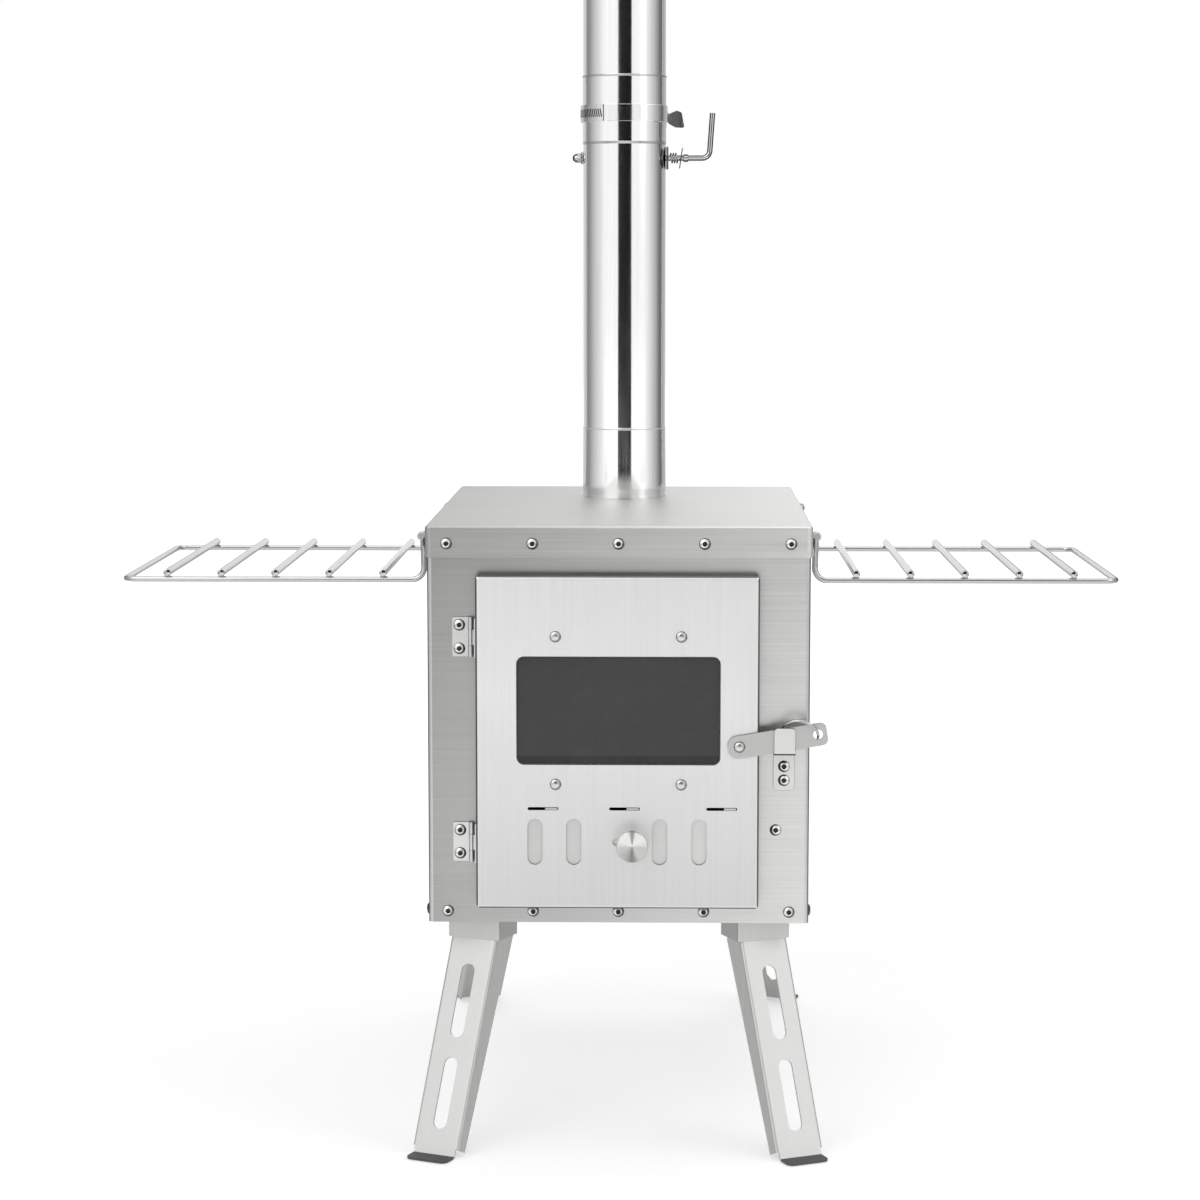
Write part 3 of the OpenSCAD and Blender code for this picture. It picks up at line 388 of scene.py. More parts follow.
def addNoise(nodes, links, stretch, detail, roughness=0.6, distortion=0.0):
    # noise on object coordinates, stretched by its scale along each axis
    mapping = nodes.new("ShaderNodeMapping")
    mapping.inputs["Scale"].default_value = stretch
    noise = nodes.new("ShaderNodeTexNoise")
    noise.inputs["Scale"].default_value = 1.0
    noise.inputs["Detail"].default_value = detail
    noise.inputs["Roughness"].default_value = roughness
    noise.inputs["Distortion"].default_value = distortion
    links.new(objectPlace(nodes), mapping.inputs["Vector"])
    links.new(mapping.outputs["Vector"], noise.inputs["Vector"])
    return noise


def addRamp(nodes, links, source, stops):
    ramp = nodes.new("ShaderNodeValToRGB")
    steps = ramp.color_ramp.elements
    while len(steps) < len(stops):
        steps.new(0.5)
    for step, (place, colour) in zip(steps, stops):
        step.position = place
        step.color = (*colour, 1) if not isinstance(colour, float) else (colour, colour, colour, 1)
    links.new(source, ramp.inputs["Fac"])
    return ramp


def addRange(nodes, links, source, low, high, start=0.3, end=0.7):
    # low where the source is at start, high where it is at end
    spread = nodes.new("ShaderNodeMapRange")
    for socket, value in (("From Min", start), ("From Max", end), ("To Min", low), ("To Max", high)):
        spread.inputs[socket].default_value = value
    links.new(source, spread.inputs["Value"])
    return spread.outputs["Result"]


def addFade(nodes, links, axis, start, end, low, high):
    # a slow change from one side of a piece to the other
    split = nodes.new("ShaderNodeSeparateXYZ")
    links.new(objectPlace(nodes), split.inputs["Vector"])
    return addRange(nodes, links, split.outputs[axis], low, high, start, end)


def mixColours(nodes, links, first, second):
    mix = nodes.new("ShaderNodeMix")
    mix.data_type = "RGBA"
    mix.blend_type = "MULTIPLY"
    mix.inputs["Factor"].default_value = 1.0
    links.new(first, mix.inputs[6])
    links.new(second, mix.inputs[7])
    return mix.outputs[2]


def shadeTone(material, shade):
    # multiplies a finished material's colour
    nodes, links = material.node_tree.nodes, material.node_tree.links
    colour = nodes["Principled BSDF"].inputs["Base Color"]
    links.new(mixColours(nodes, links, colour.links[0].from_socket, shade), colour)


def addBump(nodes, links, height, strength, distance):
    bump = nodes.new("ShaderNodeBump")
    bump.inputs["Strength"].default_value = strength
    bump.inputs["Distance"].default_value = distance
    links.new(height, bump.inputs["Height"])
    links.new(bump.outputs["Normal"], nodes["Principled BSDF"].inputs["Normal"])


def scaled(tone, share):
    return tuple(min(1, c * share) for c in tone)


def brushedSheet(name, tone, stretch, roughness, settings, fade=None):
    # sheet steel with fine brush lines, soft bands of rolling, and handling smudges
    material, nodes, links, shader = newMaterial(name)
    lines = addNoise(nodes, links, stretch, 5.0)
    bands = addNoise(nodes, links, [s * settings["bandShare"] for s in stretch], 2.0)
    smudges = addNoise(nodes, links, [settings["smudgeScale"]] * 3, 4.0, 0.6, 0.6)
    spread = settings["lineContrast"]
    lineTone = addRamp(nodes, links, lines.outputs["Fac"],
                       [(0.28, scaled(tone, 1 - spread)), (0.72, scaled(tone, 1 + spread))])
    bandTone = addRamp(nodes, links, bands.outputs["Fac"],
                       [(0.3, 1 - settings["bandContrast"]), (0.7, 1.0)])
    smudgeTone = addRamp(nodes, links, smudges.outputs["Fac"],
                         [(0.35, 1 - settings["smudgeContrast"]), (0.65, 1.0)])
    colour = mixColours(nodes, links, lineTone.outputs["Color"], bandTone.outputs["Color"])
    colour = mixColours(nodes, links, colour, smudgeTone.outputs["Color"])
    # the fade is painted light and shade: a tone ramp across the piece
    if fade:
        colour = mixColours(nodes, links, colour, addFade(nodes, links, **fade))
    links.new(colour, shader.inputs["Base Color"])
    shader.inputs["Metallic"].default_value = settings["metallic"]
    least, most = roughness - settings["roughSpread"], roughness + settings["roughSpread"]
    links.new(addRange(nodes, links, lines.outputs["Fac"], least, most), shader.inputs["Roughness"])
    addBump(nodes, links, lines.outputs["Fac"], settings["bumpStrength"], settings["bumpDepth"])
    return material


sheetLook = {
    "bandShare": 0.12,
    "smudgeScale": 14.0,
    "lineContrast": 0.08,
    "bandContrast": 0.03,
    "smudgeContrast": 0.04,
    "metallic": 1.0,
    "roughSpread": 0.05,
    "bumpStrength": 0.25,
    "bumpDepth": 0.00004,
}
# painted light and shade: the steel grows lighter from the stove's left side to its right
paintedLightAcross = {"axis": "X", "start": -0.125, "end": 0.125, "low": 0.84, "high": 1.42}
# painted shade: the door's tone grows darker towards its foot
paintedShadeUpDoor = {"axis": "Z", "start": 0.165, "end": 0.30, "low": 0.80, "high": 1.0}
paleLook = dict(sheetLook, lineContrast=0.035, bandContrast=0.025, smudgeContrast=0.02, metallic=0.75)


def polishedSteel(name, tone, roughness, scratchScale, wobble):
    # bright tube and wire: faint drawing lines, small scratches and a slow wave in the surface
    material, nodes, links, shader = newMaterial(name)
    scratches = addNoise(nodes, links, scratchScale, 6.0, 0.7)
    wave = addNoise(nodes, links, (22, 22, 9), 2.0)
    tint = addRamp(nodes, links, scratches.outputs["Fac"],
                   [(0.3, scaled(tone, 0.93)), (0.6, tone)])
    links.new(tint.outputs["Color"], shader.inputs["Base Color"])
    shader.inputs["Metallic"].default_value = 1.0
    grain = addRange(nodes, links, scratches.outputs["Fac"], roughness * 0.6, roughness * 1.5)
    links.new(grain, shader.inputs["Roughness"])
    addBump(nodes, links, wave.outputs["Fac"], wobble, 0.0004)
    return material


def turnedMetal(name, tone, centre, ringScale, roughness):
    # a lathe-turned face: fine rings round the knob's own axis
    material, nodes, links, shader = newMaterial(name)
    mapping = nodes.new("ShaderNodeMapping")
    mapping.inputs["Location"].default_value = tuple(-c for c in centre)
    links.new(objectPlace(nodes), mapping.inputs["Vector"])
    rings = nodes.new("ShaderNodeTexWave")
    rings.wave_type = "RINGS"
    rings.rings_direction = "Y"
    rings.inputs["Scale"].default_value = ringScale
    rings.inputs["Distortion"].default_value = 0.6
    rings.inputs["Detail"].default_value = 3.0
    links.new(mapping.outputs["Vector"], rings.inputs["Vector"])
    tint = addRamp(nodes, links, rings.outputs["Fac"], [(0.0, scaled(tone, 0.82)), (1.0, tone)])
    links.new(tint.outputs["Color"], shader.inputs["Base Color"])
    shader.inputs["Metallic"].default_value = 1.0
    shader.inputs["Roughness"].default_value = roughness
    shader.inputs["Anisotropic"].default_value = 0.7
    addBump(nodes, links, rings.outputs["Fac"], 0.4, 0.00008)
    return material


def paintKnobLightAndShade(material, centre, stops):
    # painted highlights and shade: bright and dark wedges round the knob's axis, for the reflections a
    # turned cone shows
    nodes, links = material.node_tree.nodes, material.node_tree.links
    place = nodes.new("ShaderNodeVectorMath")
    place.operation = "SUBTRACT"
    place.inputs[1].default_value = tuple(centre)
    turn = nodes.new("ShaderNodeMapping")
    turn.inputs["Rotation"].default_value = (-quarterTurn, 0, 0)
    wheel = nodes.new("ShaderNodeTexGradient")
    wheel.gradient_type = "RADIAL"
    links.new(objectPlace(nodes), place.inputs[0])
    links.new(place.outputs["Vector"], turn.inputs["Vector"])
    links.new(turn.outputs["Vector"], wheel.inputs["Vector"])
    shadeTone(material, addRamp(nodes, links, wheel.outputs["Fac"], stops).outputs["Color"])


def paintRimShade(material, shift, edge, tone):
    # painted shade: a dark crescent inside one side of a rivet's rim, on the head's own map
    nodes, links = material.node_tree.nodes, material.node_tree.links
    coordinates = nodes.new("ShaderNodeUVMap")
    coordinates.uv_map = "headMap"
    place = nodes.new("ShaderNodeVectorMath")
    place.operation = "DISTANCE"
    place.inputs[1].default_value = (0.5 + shift[0], 0.5 + shift[1], 0)
    links.new(coordinates.outputs["UV"], place.inputs[0])
    crescent = addRamp(nodes, links, place.outputs["Value"], [(edge, 1.0), (edge + 0.05, tone)])
    shadeTone(material, crescent.outputs["Color"])


def smokedGlass(name, sootLow, sootHigh):
    # heat-proof window with a thin film of soot and dust
    material, nodes, links, shader = newMaterial(name)
    dust = addNoise(nodes, links, (60, 60, 60), 6.0, 0.7)
    film = addNoise(nodes, links, (9, 9, 14), 3.0, 0.5)
    dustTone = addRamp(nodes, links, dust.outputs["Fac"],
                       [(0.45, (0.047, 0.047, 0.048)), (0.75, (0.062, 0.062, 0.063))])
    filmTone = addRamp(nodes, links, film.outputs["Fac"], [(0.3, 0.75), (0.7, 1.0)])
    colour = mixColours(nodes, links, dustTone.outputs["Color"], filmTone.outputs["Color"])
    soot = addFade(nodes, links, "Z", sootLow, sootHigh, 0.35, 1.0)
    links.new(mixColours(nodes, links, colour, soot), shader.inputs["Base Color"])
    links.new(addRange(nodes, links, dust.outputs["Fac"], 0.16, 0.34), shader.inputs["Roughness"])
    shader.inputs["Metallic"].default_value = 0.0
    shader.inputs["IOR"].default_value = 1.47
    return material


def wovenTape(name):
    # grey glass-fibre tape: a small weave
    material, nodes, links, shader = newMaterial(name)
    weave = nodes.new("ShaderNodeTexWave")
    weave.inputs["Scale"].default_value = 220.0
    weave.inputs["Distortion"].default_value = 4.0
    weave.inputs["Detail"].default_value = 2.0
    links.new(objectPlace(nodes), weave.inputs["Vector"])
    tint = addRamp(nodes, links, weave.outputs["Fac"],
                   [(0.0, (0.05, 0.05, 0.055)), (1.0, (0.20, 0.20, 0.21))])
    links.new(tint.outputs["Color"], shader.inputs["Base Color"])
    shader.inputs["Roughness"].default_value = 0.9
    addBump(nodes, links, weave.outputs["Fac"], 0.6, 0.0003)
    return material


knobLow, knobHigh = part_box("air_knob")
knobMiddle = (knobLow + knobHigh) / 2

# how fine each grain is along X, Y and Z
levelGrain = (10, 1500, 1500)
uprightGrain = (900, 900, 9)
evenGrain = (500, 500, 500)
wireGrain = (300, 300, 300)
tubeGrain = (500, 500, 30)

frameSteel = brushedSheet("frameSteel", (0.50, 0.50, 0.49), levelGrain, 0.34, sheetLook, paintedLightAcross)
foldHighlight = brushedSheet("foldHighlight", (0.64, 0.64, 0.63), levelGrain, 0.34, sheetLook)
doorFoldHighlight = brushedSheet("doorFoldHighlight", (0.92, 0.92, 0.91), uprightGrain, 0.38, paleLook)
foldShade = brushedSheet("foldShade", (0.16, 0.16, 0.16), levelGrain, 0.34, sheetLook)
sideSteel = brushedSheet("sideSteel", (0.66, 0.66, 0.65), (700, 6, 700), 0.34, sheetLook)
plateSteel = brushedSheet("plateSteel", (0.58, 0.58, 0.57), (7, 1200, 1200), 0.44, sheetLook,
                          dict(paintedLightAcross, low=0.78, high=1.26))
doorSteel = brushedSheet("doorSteel", (0.92, 0.92, 0.915), (800, 800, 9), 0.42, paleLook, paintedShadeUpDoor)
legSteel = brushedSheet("legSteel", (0.62, 0.62, 0.61), uprightGrain, 0.40, paleLook)
flangeShade = brushedSheet("flangeShade", (0.46, 0.46, 0.455), uprightGrain, 0.40, sheetLook)
bracketSideShade = brushedSheet("bracketSideShade", (0.36, 0.36, 0.355), uprightGrain, 0.40, sheetLook)
edgeShade = brushedSheet("edgeShade", (0.10, 0.10, 0.10), (900, 900, 900), 0.45, sheetLook)
latchSteel = brushedSheet("latchSteel", (0.58, 0.58, 0.57), (12, 900, 900), 0.34, paleLook)
seamShade = brushedSheet("seamShade", (0.60, 0.60, 0.60), (300, 300, 20), 0.30, sheetLook)
footShade = brushedSheet("footShade", (0.11, 0.11, 0.108), wireGrain, 0.50, sheetLook)
slideSteel = brushedSheet("slideSteel", (0.76, 0.76, 0.75), levelGrain, 0.42, paleLook,
                          dict(paintedLightAcross, low=0.84, high=1.04))
tabSteel = brushedSheet("tabSteel", (0.62, 0.62, 0.61), (900, 900, 900), 0.40, paleLook)
bandSteel = polishedSteel("bandSteel", (0.88, 0.88, 0.88), 0.12, tubeGrain, 0.02)
fittingSteel = brushedSheet("fittingSteel", (0.78, 0.78, 0.77), (9, 500, 500), 0.32, paleLook)
pipeSteel = polishedSteel("pipeSteel", (0.94, 0.94, 0.94), 0.10, (260, 260, 5), 0.02)
wireSteel = polishedSteel("wireSteel", (0.54, 0.54, 0.54), 0.12, wireGrain, 0.02)
rivetSteel = polishedSteel("rivetSteel", (0.62, 0.62, 0.61), 0.18, evenGrain, 0.02)
rodSteel = polishedSteel("rodSteel", (0.62, 0.62, 0.62), 0.12, wireGrain, 0.02)
flankShade = polishedSteel("flankShade", (0.07, 0.07, 0.07), 0.2, wireGrain, 0.02)
headSteel = polishedSteel("headSteel", (0.78, 0.78, 0.77), 0.24, evenGrain, 0.02)
# painted shade: dark crescents and rims on the rivet heads
paintRimShade(headSteel, (-0.07, 0.06), 0.35, 0.22)
paintRimShade(headSteel, (0, 0), 0.44, 0.25)
catchHeadSteel = polishedSteel("catchHeadSteel", (0.78, 0.78, 0.77), 0.24, evenGrain, 0.02)
paintRimShade(catchHeadSteel, (0.09, 0.03), 0.35, 0.16)
paintRimShade(catchHeadSteel, (0, 0), 0.44, 0.22)
domeSteel = polishedSteel("domeSteel", (0.66, 0.66, 0.65), 0.26, evenGrain, 0.02)
paintRimShade(domeSteel, (-0.05, 0.06), 0.36, 0.40)
paintRimShade(domeSteel, (0, 0), 0.43, 0.22)
darkWasher = brushedSheet("darkWasher", (0.13, 0.13, 0.13), (400, 400, 400), 0.40, sheetLook)
hatSteel = polishedSteel("hatSteel", (0.66, 0.66, 0.66), 0.26, tubeGrain, 0.02)
tailSteel = polishedSteel("tailSteel", (0.80, 0.80, 0.80), 0.16, tubeGrain, 0.02)
keySteel = brushedSheet("keySteel", (0.26, 0.26, 0.26), (400, 400, 30), 0.35, sheetLook)
grateSteel = brushedSheet("grateSteel", (0.36, 0.35, 0.34), (300, 9, 300), 0.45, sheetLook)
knobMetal = turnedMetal("knobMetal", (0.82, 0.82, 0.81), knobMiddle, 900.0, 0.26)
paintKnobLightAndShade(knobMetal, knobMiddle,
           [(0.0, 0.80), (0.17, 0.70), (0.25, 0.34), (0.33, 0.70), (0.5, 0.80), (0.60, 1.0), (0.70, 1.0),
            (0.75, 0.30), (0.80, 1.0), (0.92, 1.0), (1.0, 0.80)])
soot = {"from": 13 * mm, "to": 14.5 * mm}
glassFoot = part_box("window_glass")[0].z
windowGlass = smokedGlass("windowGlass", glassFoot + soot["from"], glassFoot + soot["to"])
gasketTape = wovenTape("gasketTape")
holeShade = brushedSheet("holeShade", (0.05, 0.05, 0.05), evenGrain, 0.5, sheetLook)
print("finishes mixed")

slotLooks = {
    "body_steel": frameSteel, "plate_steel": plateSteel, "door_steel": doorSteel, "leg_steel": legSteel,
    "pipe_steel": pipeSteel, "wire_steel": wireSteel, "rivet_steel": rivetSteel,
    "fitting_steel": fittingSteel, "dark_fitting": darkWasher, "knob_metal": knobMetal,
    "grate_iron": grateSteel, "window_glass": windowGlass, "gasket": gasketTape,
}
nodeSlots = {part["node"]: part["material_slot"] for part in frame["record"]["subparts"]}
for nodeName, cadPiece in frame["nodes"].items():
    cadPiece.data.materials.clear()
    cadPiece.data.materials.append(slotLooks[nodeSlots[nodeName]])
for nodeName in ("side_panel_left", "side_panel_right"):
    frame["nodes"][nodeName].data.materials[0] = sideSteel
frame["nodes"]["clamp_screw"].data.materials[0] = keySteel


# cooking plate

plate = {"thickness": 1.3 * mm, "edgeRadius": 1.6 * mm, "cornerRadius": 4.3 * mm, "flueRadius": 30.2 * mm}
low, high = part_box("top_plate")
cookingPlate = makeBlock("cookingPlate", low, high)
roundEdges(cookingPlate, lambda a, b: abs(a.z - b.z) > 5 * mm, plate["cornerRadius"], 6)
roundEdges(cookingPlate, lambda a, b: min(a.z, b.z) > high.z - 0.1 * mm, plate["edgeRadius"], 4)
removeFaces(cookingPlate, lambda c, n: n.z < -0.9)
sheetInwards(cookingPlate, plate["thickness"])
collarLow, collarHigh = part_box("flue_collar")
flueMiddle = (collarLow + collarHigh) / 2
flueX, flueY = flueMiddle.x, flueMiddle.y
cutOut(cookingPlate, [makeRod("cutter", plate["flueRadius"], 20 * mm, (flueX, flueY, high.z), sides=64)])
crisp(cookingPlate)
finishPiece(cookingPlate, "firebox", "top_plate", plateSteel)
print("cooking plate folded")


# flue pipes, turned

pipe = {"radius": 30 * mm, "wall": 0.5 * mm, "socket": 50 * mm, "rimOut": 0.3 * mm, "roll": 0.55 * mm,
        "flare": 3 * mm, "rodHole": 2.05 * mm, "seamTilt": 0.12}


def rolledTop(radius, top, wall, roll):
    # a socket's mouth with a small rolled edge
    return [(radius, top - 3 * roll), (radius + roll * 0.35, top - 2 * roll),
            (radius + roll * 0.5, top - roll), (radius + roll * 0.2, top - roll * 0.2),
            (radius - wall * 0.5, top), (radius - wall, top - roll * 0.3)]


def flueOutline(foot, top, depth, bodyRadius, socketRadius, wall):
    # a section of flue: plain below, swelling to a socket at its upper end
    inner = bodyRadius - wall
    swell = pipe["flare"]
    outline = [(inner, foot), (bodyRadius, foot), (bodyRadius, top - depth)]
    for i in range(1, 6):
        share = (1 - math.cos(math.pi * i / 6)) / 2
        outline.append((bodyRadius + (socketRadius - bodyRadius) * share, top - depth + swell * i / 6))
    outline += [(socketRadius, top - depth + swell)]
    outline += rolledTop(socketRadius, top, wall, pipe["roll"])
    outline += [(socketRadius - wall, top - depth + swell), (inner, top - depth), (inner, foot)]
    return outline


def fluePiece(name, node):
    low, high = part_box(node)
    socketRadius = (high.x - low.x) / 2 - pipe["rimOut"]
    outline = flueOutline(low.z, high.z, pipe["socket"], pipe["radius"], socketRadius, pipe["wall"])
    piece = turnPiece(name, outline, placeAt((flueX, flueY, 0)), 96, 40)
    return finishPiece(piece, "firebox", node, pipeSteel)


def shadeSeams(piece):
    # painted shade: the tilted faces of rolled edges and swells get a grey steel, for the thin grey lines
    # they show round the pipe
    paintWhere(piece, lambda normal: abs(normal.z) > pipe["seamTilt"], seamShade)


upperFlue = fluePiece("upperFlue", "upper_pipe")
shadeSeams(upperFlue)
damperFlue = fluePiece("damperFlue", "damper_pipe")
damperRodLow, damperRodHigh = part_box("damper_rod")
damperNutLow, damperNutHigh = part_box("damper_nut")
damperZ = (damperNutLow.z + damperNutHigh.z) / 2
cutOut(damperFlue, [makeRod("cutter", pipe["rodHole"], 80 * mm, (flueX, flueY, damperZ), "X", 24)])
crisp(damperFlue, 40)
shadeSeams(damperFlue)

collar = {"bore": 29.5 * mm, "flange": 41.5 * mm, "flangeRim": 41.9 * mm, "flangeThickness": 1.2 * mm,
          "mouth": 30.65 * mm, "neck": ((30, 1.5), (30.1, 3), (30.35, 4.5), (30.6, 6), (30.65, 7)),
          "inside": ((29.9, 7), (29.5, 4))}
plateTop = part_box("top_plate")[1].z
underPlate = plateTop - plate["thickness"]
underFlange = underPlate - collar["flangeThickness"]
collarOutline = [(collar["bore"], underFlange), (collar["flange"], underFlange),
                 (collar["flangeRim"], underPlate - collar["flangeThickness"] / 2),
                 (collar["flange"], underPlate), (pipe["radius"], underPlate)]
collarOutline += [(radius * mm, plateTop + up * mm) for radius, up in collar["neck"]]
collarOutline += rolledTop(collar["mouth"] - pipe["rimOut"], collarHigh.z, pipe["wall"], pipe["roll"])
collarOutline += [(radius * mm, plateTop + up * mm) for radius, up in collar["inside"]]
collarOutline.append((collar["bore"], underFlange))
flueCollar = turnPiece("flueCollar", collarOutline, placeAt((flueX, flueY, 0)), 96, 40)
finishPiece(flueCollar, "firebox", "flue_collar", pipeSteel)
print("flue pipes turned")


# rivets

rivet = {"radius": 3.8 * mm, "holeRadius": 1.65 * mm, "holeShare": 0.97}


def mapHead(head, place, radius):
    # a flat map of each head, from its own axis
    back = place.inverted()
    headMap = head.data.uv_layers.new(name="headMap")
    for corner in head.data.loops:
        local = back @ head.data.vertices[corner.vertex_index].co
        headMap.data[corner.index].uv = (0.5 + local.x / (2 * radius), 0.5 + local.y / (2 * radius))
    return head


def makePopRivet(spot, facing, height, finish):
    # a flat dome with the hole of its mandrel
    r, h = rivet["radius"], height
    outline = [(0, 0), (r * 0.96, 0), (r, h * 0.12), (r * 0.97, h * 0.35), (r * 0.86, h * 0.62),
               (r * 0.68, h * 0.86), (r * 0.52, h * 0.97), (rivet["holeRadius"] * 1.12, h),
               (rivet["holeRadius"], h * 0.93), (rivet["holeRadius"] * 0.94, h * 0.35), (0, h * 0.3)]
    place = placeAt(spot, facing)
    head = turnPiece("rivetHead", outline, place, 28, 40)
    # painted shade: the faces inside the mandrel's hole get a near-black material
    head.data.materials.append(finish)
    head.data.materials.append(holeShade)
    back = place.inverted()
    for face in head.data.polygons:
        local = back @ face.center
        inHole = math.hypot(local.x, local.y) < rivet["holeRadius"] * rivet["holeShare"]
        face.material_index = 1 if inHole and local.z > h * 0.2 else 0
    return mapHead(head, place, r)


def rivetSpots(node):
    # middle and facing of each solid head in a node, from its loose mesh
    source = frame["nodes"][node]
    twin = source.copy()
    twin.data = source.data.copy()
    bpy.context.scene.collection.objects.link(twin)
    twin.parent = None
    closeMesh(twin, weldLoose)
    selectAll(twin)
    bpy.ops.mesh.separate(type="LOOSE")
    editOff()
    found = []
    for one in list(bpy.context.selected_objects):
        spots = [v.co for v in one.data.vertices]
        small = Vector([min(s[i] for s in spots) for i in range(3)])
        large = Vector([max(s[i] for s in spots) for i in range(3)])
        found.append(((small + large) / 2, large - small))
        bpy.data.objects.remove(one)
    return found


def rivetGroup(name, node, body, finish):
    # every head of one node, each put on the face that its CAD head stands on
    heads = []
    for middle, size in rivetSpots(node):
        axis = min(range(3), key=lambda i: size[i])
        sign = 1 if middle[axis] > 0 else -1
        spot = middle.copy()
        spot[axis] -= sign * size[axis] / 2
        facing = ("+" if sign > 0 else "-") + "XYZ"[axis]
        heads.append(makePopRivet(spot, facing, size[axis], finish))
    group = joinPieces(name, heads)
    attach(group, body)
    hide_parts(node)
    return group


for word in ("rim", "base", "hinge", "catch", "rack"):
    finish = catchHeadSteel if word == "catch" else headSteel
    rivetGroup(word + "Rivets", word + "_rivets", "firebox", finish)
print("rivets set")


# racks: frame wire and rods

eye = {"wall": 1.05 * mm, "radius": 2.9 * mm, "length": 12 * mm, "x": 129.5 * mm, "z": 401 * mm,
       "strap": 13 * mm, "rim": 126.3 * mm, "strapThickness": 1.2 * mm, "bendBelow": 1.5 * mm, "steps": 15,
       "stepTurn": 20, "soften": 0.12 * mm}
rack = {"wireRadius": 2 * mm, "rodRadius": 2.5 * mm, "rods": 5, "bendRadius": 8 * mm, "eyeBend": 2.2 * mm,
        "armX": 128.6 * mm, "armInset": 14.3 * mm,
        "bead": ((0, -0.9), (1.5, -0.7), (2.1, 0), (1.5, 0.7), (0, 0.9)), "beadSink": 0.1 * mm}


def makeRack(side):
    body = side + "_rack"
    sign = 1 if side == "right" else -1
    low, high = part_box("rack_frame_" + side)
    reach = high.x if sign > 0 else -low.x
    r, armX, eyeX, eyeZ = rack["wireRadius"], rack["armX"], eye["x"], eye["z"]
    front, back = low.y, high.y
    frontArm, backArm = front + rack["armInset"], back - rack["armInset"]
    railZ = low.z + r
    corners = [(eyeX, front, eyeZ), (eyeX, frontArm, eyeZ), (armX, frontArm, railZ),
               (reach - r, frontArm, railZ), (reach - r, backArm, railZ), (armX, backArm, railZ),
               (eyeX, backArm, eyeZ), (eyeX, back, eyeZ)]
    spots = [Vector(corners[0])]
    for i, radius in enumerate([rack["eyeBend"]] + [rack["bendRadius"]] * 4 + [rack["eyeBend"]]):
        spots += bend(corners[i + 1], corners[i], corners[i + 2], radius, 7)
    spots.append(Vector(corners[-1]))
    spots = [Vector((sign * s.x, s.y, s.z)) for s in spots]
    wire = makeWire("rackWire" + side.capitalize(), spots, r, 4)
    finishPiece(wire, body, "rack_frame_" + side, wireSteel)
    rodLow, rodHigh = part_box("rack_rods_" + side)
    rods = []
    rodR, length = rack["rodRadius"], rodHigh.y - rodLow.y
    outline = [(0, 0), (rodR * 0.68, 0), (rodR * 0.9, rodR * 0.1), (rodR, rodR * 0.32)]
    outline += [(radius, length - height) for radius, height in reversed(outline)]
    bead = [(radius * mm, up * mm) for radius, up in rack["bead"]]
    first = (rodLow.x if sign > 0 else -rodHigh.x) + rodR
    last = (rodHigh.x if sign > 0 else -rodLow.x) - rodR
    for i in range(rack["rods"]):
        x = sign * (first + (last - first) * i / (rack["rods"] - 1))
        rods.append(turnPiece("rod", outline,
                              placeAt((x, rodLow.y, (rodLow.z + rodHigh.z) / 2), "+Y"), 24, 40))
        for y in (frontArm, backArm):
            rods.append(turnPiece("weld", bead, placeAt((x, y, rodLow.z - rack["beadSink"])), 12, 60))
    rodSet = joinPieces("rackRods" + side.capitalize(), rods)
    finishPiece(rodSet, body, "rack_rods_" + side, wireSteel)


makeRack("left")
makeRack("right")
print("racks bent")


# door pan with its window, air slots and guide slots

door = {
    "sheet": 1 * mm,
    "foldRadius": 2.4 * mm,
    "windowLap": 8 * mm,
    "windowRadius": 5 * mm,
    "airSlot": (9.9 * mm, 30.5 * mm),
    "airShares": (-0.2905, -0.1535, 0.1495, 0.289),
    "guideSlot": (2 * mm, 20.1 * mm),
    "guideShares": (-0.262, 0.0257, 0.369),
    "knobSlot": (4.8 * mm, 15.4 * mm),
    "knobSlotShift": -5.3 * mm,
}
low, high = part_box("door_panel")
doorFace, doorMiddleX, doorWidth = low.y, (low.x + high.x) / 2, high.x - low.x
doorPan = makeBlock("doorPan", low, high)
roundEdges(doorPan, lambda a, b: min(a.y, b.y) < low.y + 0.1 * mm, door["foldRadius"], 6)
removeFaces(doorPan, lambda c, n: n.y > 0.9)
sheetInwards(doorPan, door["sheet"])
closeMesh(doorPan, weldFine)
doorLow, doorHigh = low, high
glassLow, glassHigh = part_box("window_glass")
lap = door["windowLap"]
cutFrom, cutDepth = low.y - 2 * mm, 6 * mm
windowCutter = makeBlock("cutter", (glassLow.x + lap, cutFrom, glassLow.z + lap),
                         (glassHigh.x - lap, cutFrom + cutDepth, glassHigh.z - lap))
roundEdges(windowCutter, lambda a, b: abs(a.y - b.y) > 3 * mm, door["windowRadius"], 6)
airLow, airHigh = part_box("air_plate")
airZ = knobMiddle.z
guideZ = airHigh.z - 0.7 * mm
cutters = [windowCutter]
for share in door["airShares"]:
    middle = (doorMiddleX + share * doorWidth, airZ)
    cutters.append(slotCutter(middle, door["airSlot"][1], door["airSlot"][0], cutFrom, cutDepth, True))
for share in door["guideShares"]:
    middle = (doorMiddleX + share * doorWidth, guideZ)
    cutters.append(slotCutter(middle, door["guideSlot"][1], door["guideSlot"][0], cutFrom, cutDepth, False))
middle = (knobMiddle.x + door["knobSlotShift"], airZ)
cutters.append(slotCutter(middle, door["knobSlot"][1], door["knobSlot"][0], cutFrom, cutDepth, False))
cutOut(doorPan, cutters)
crisp(doorPan)
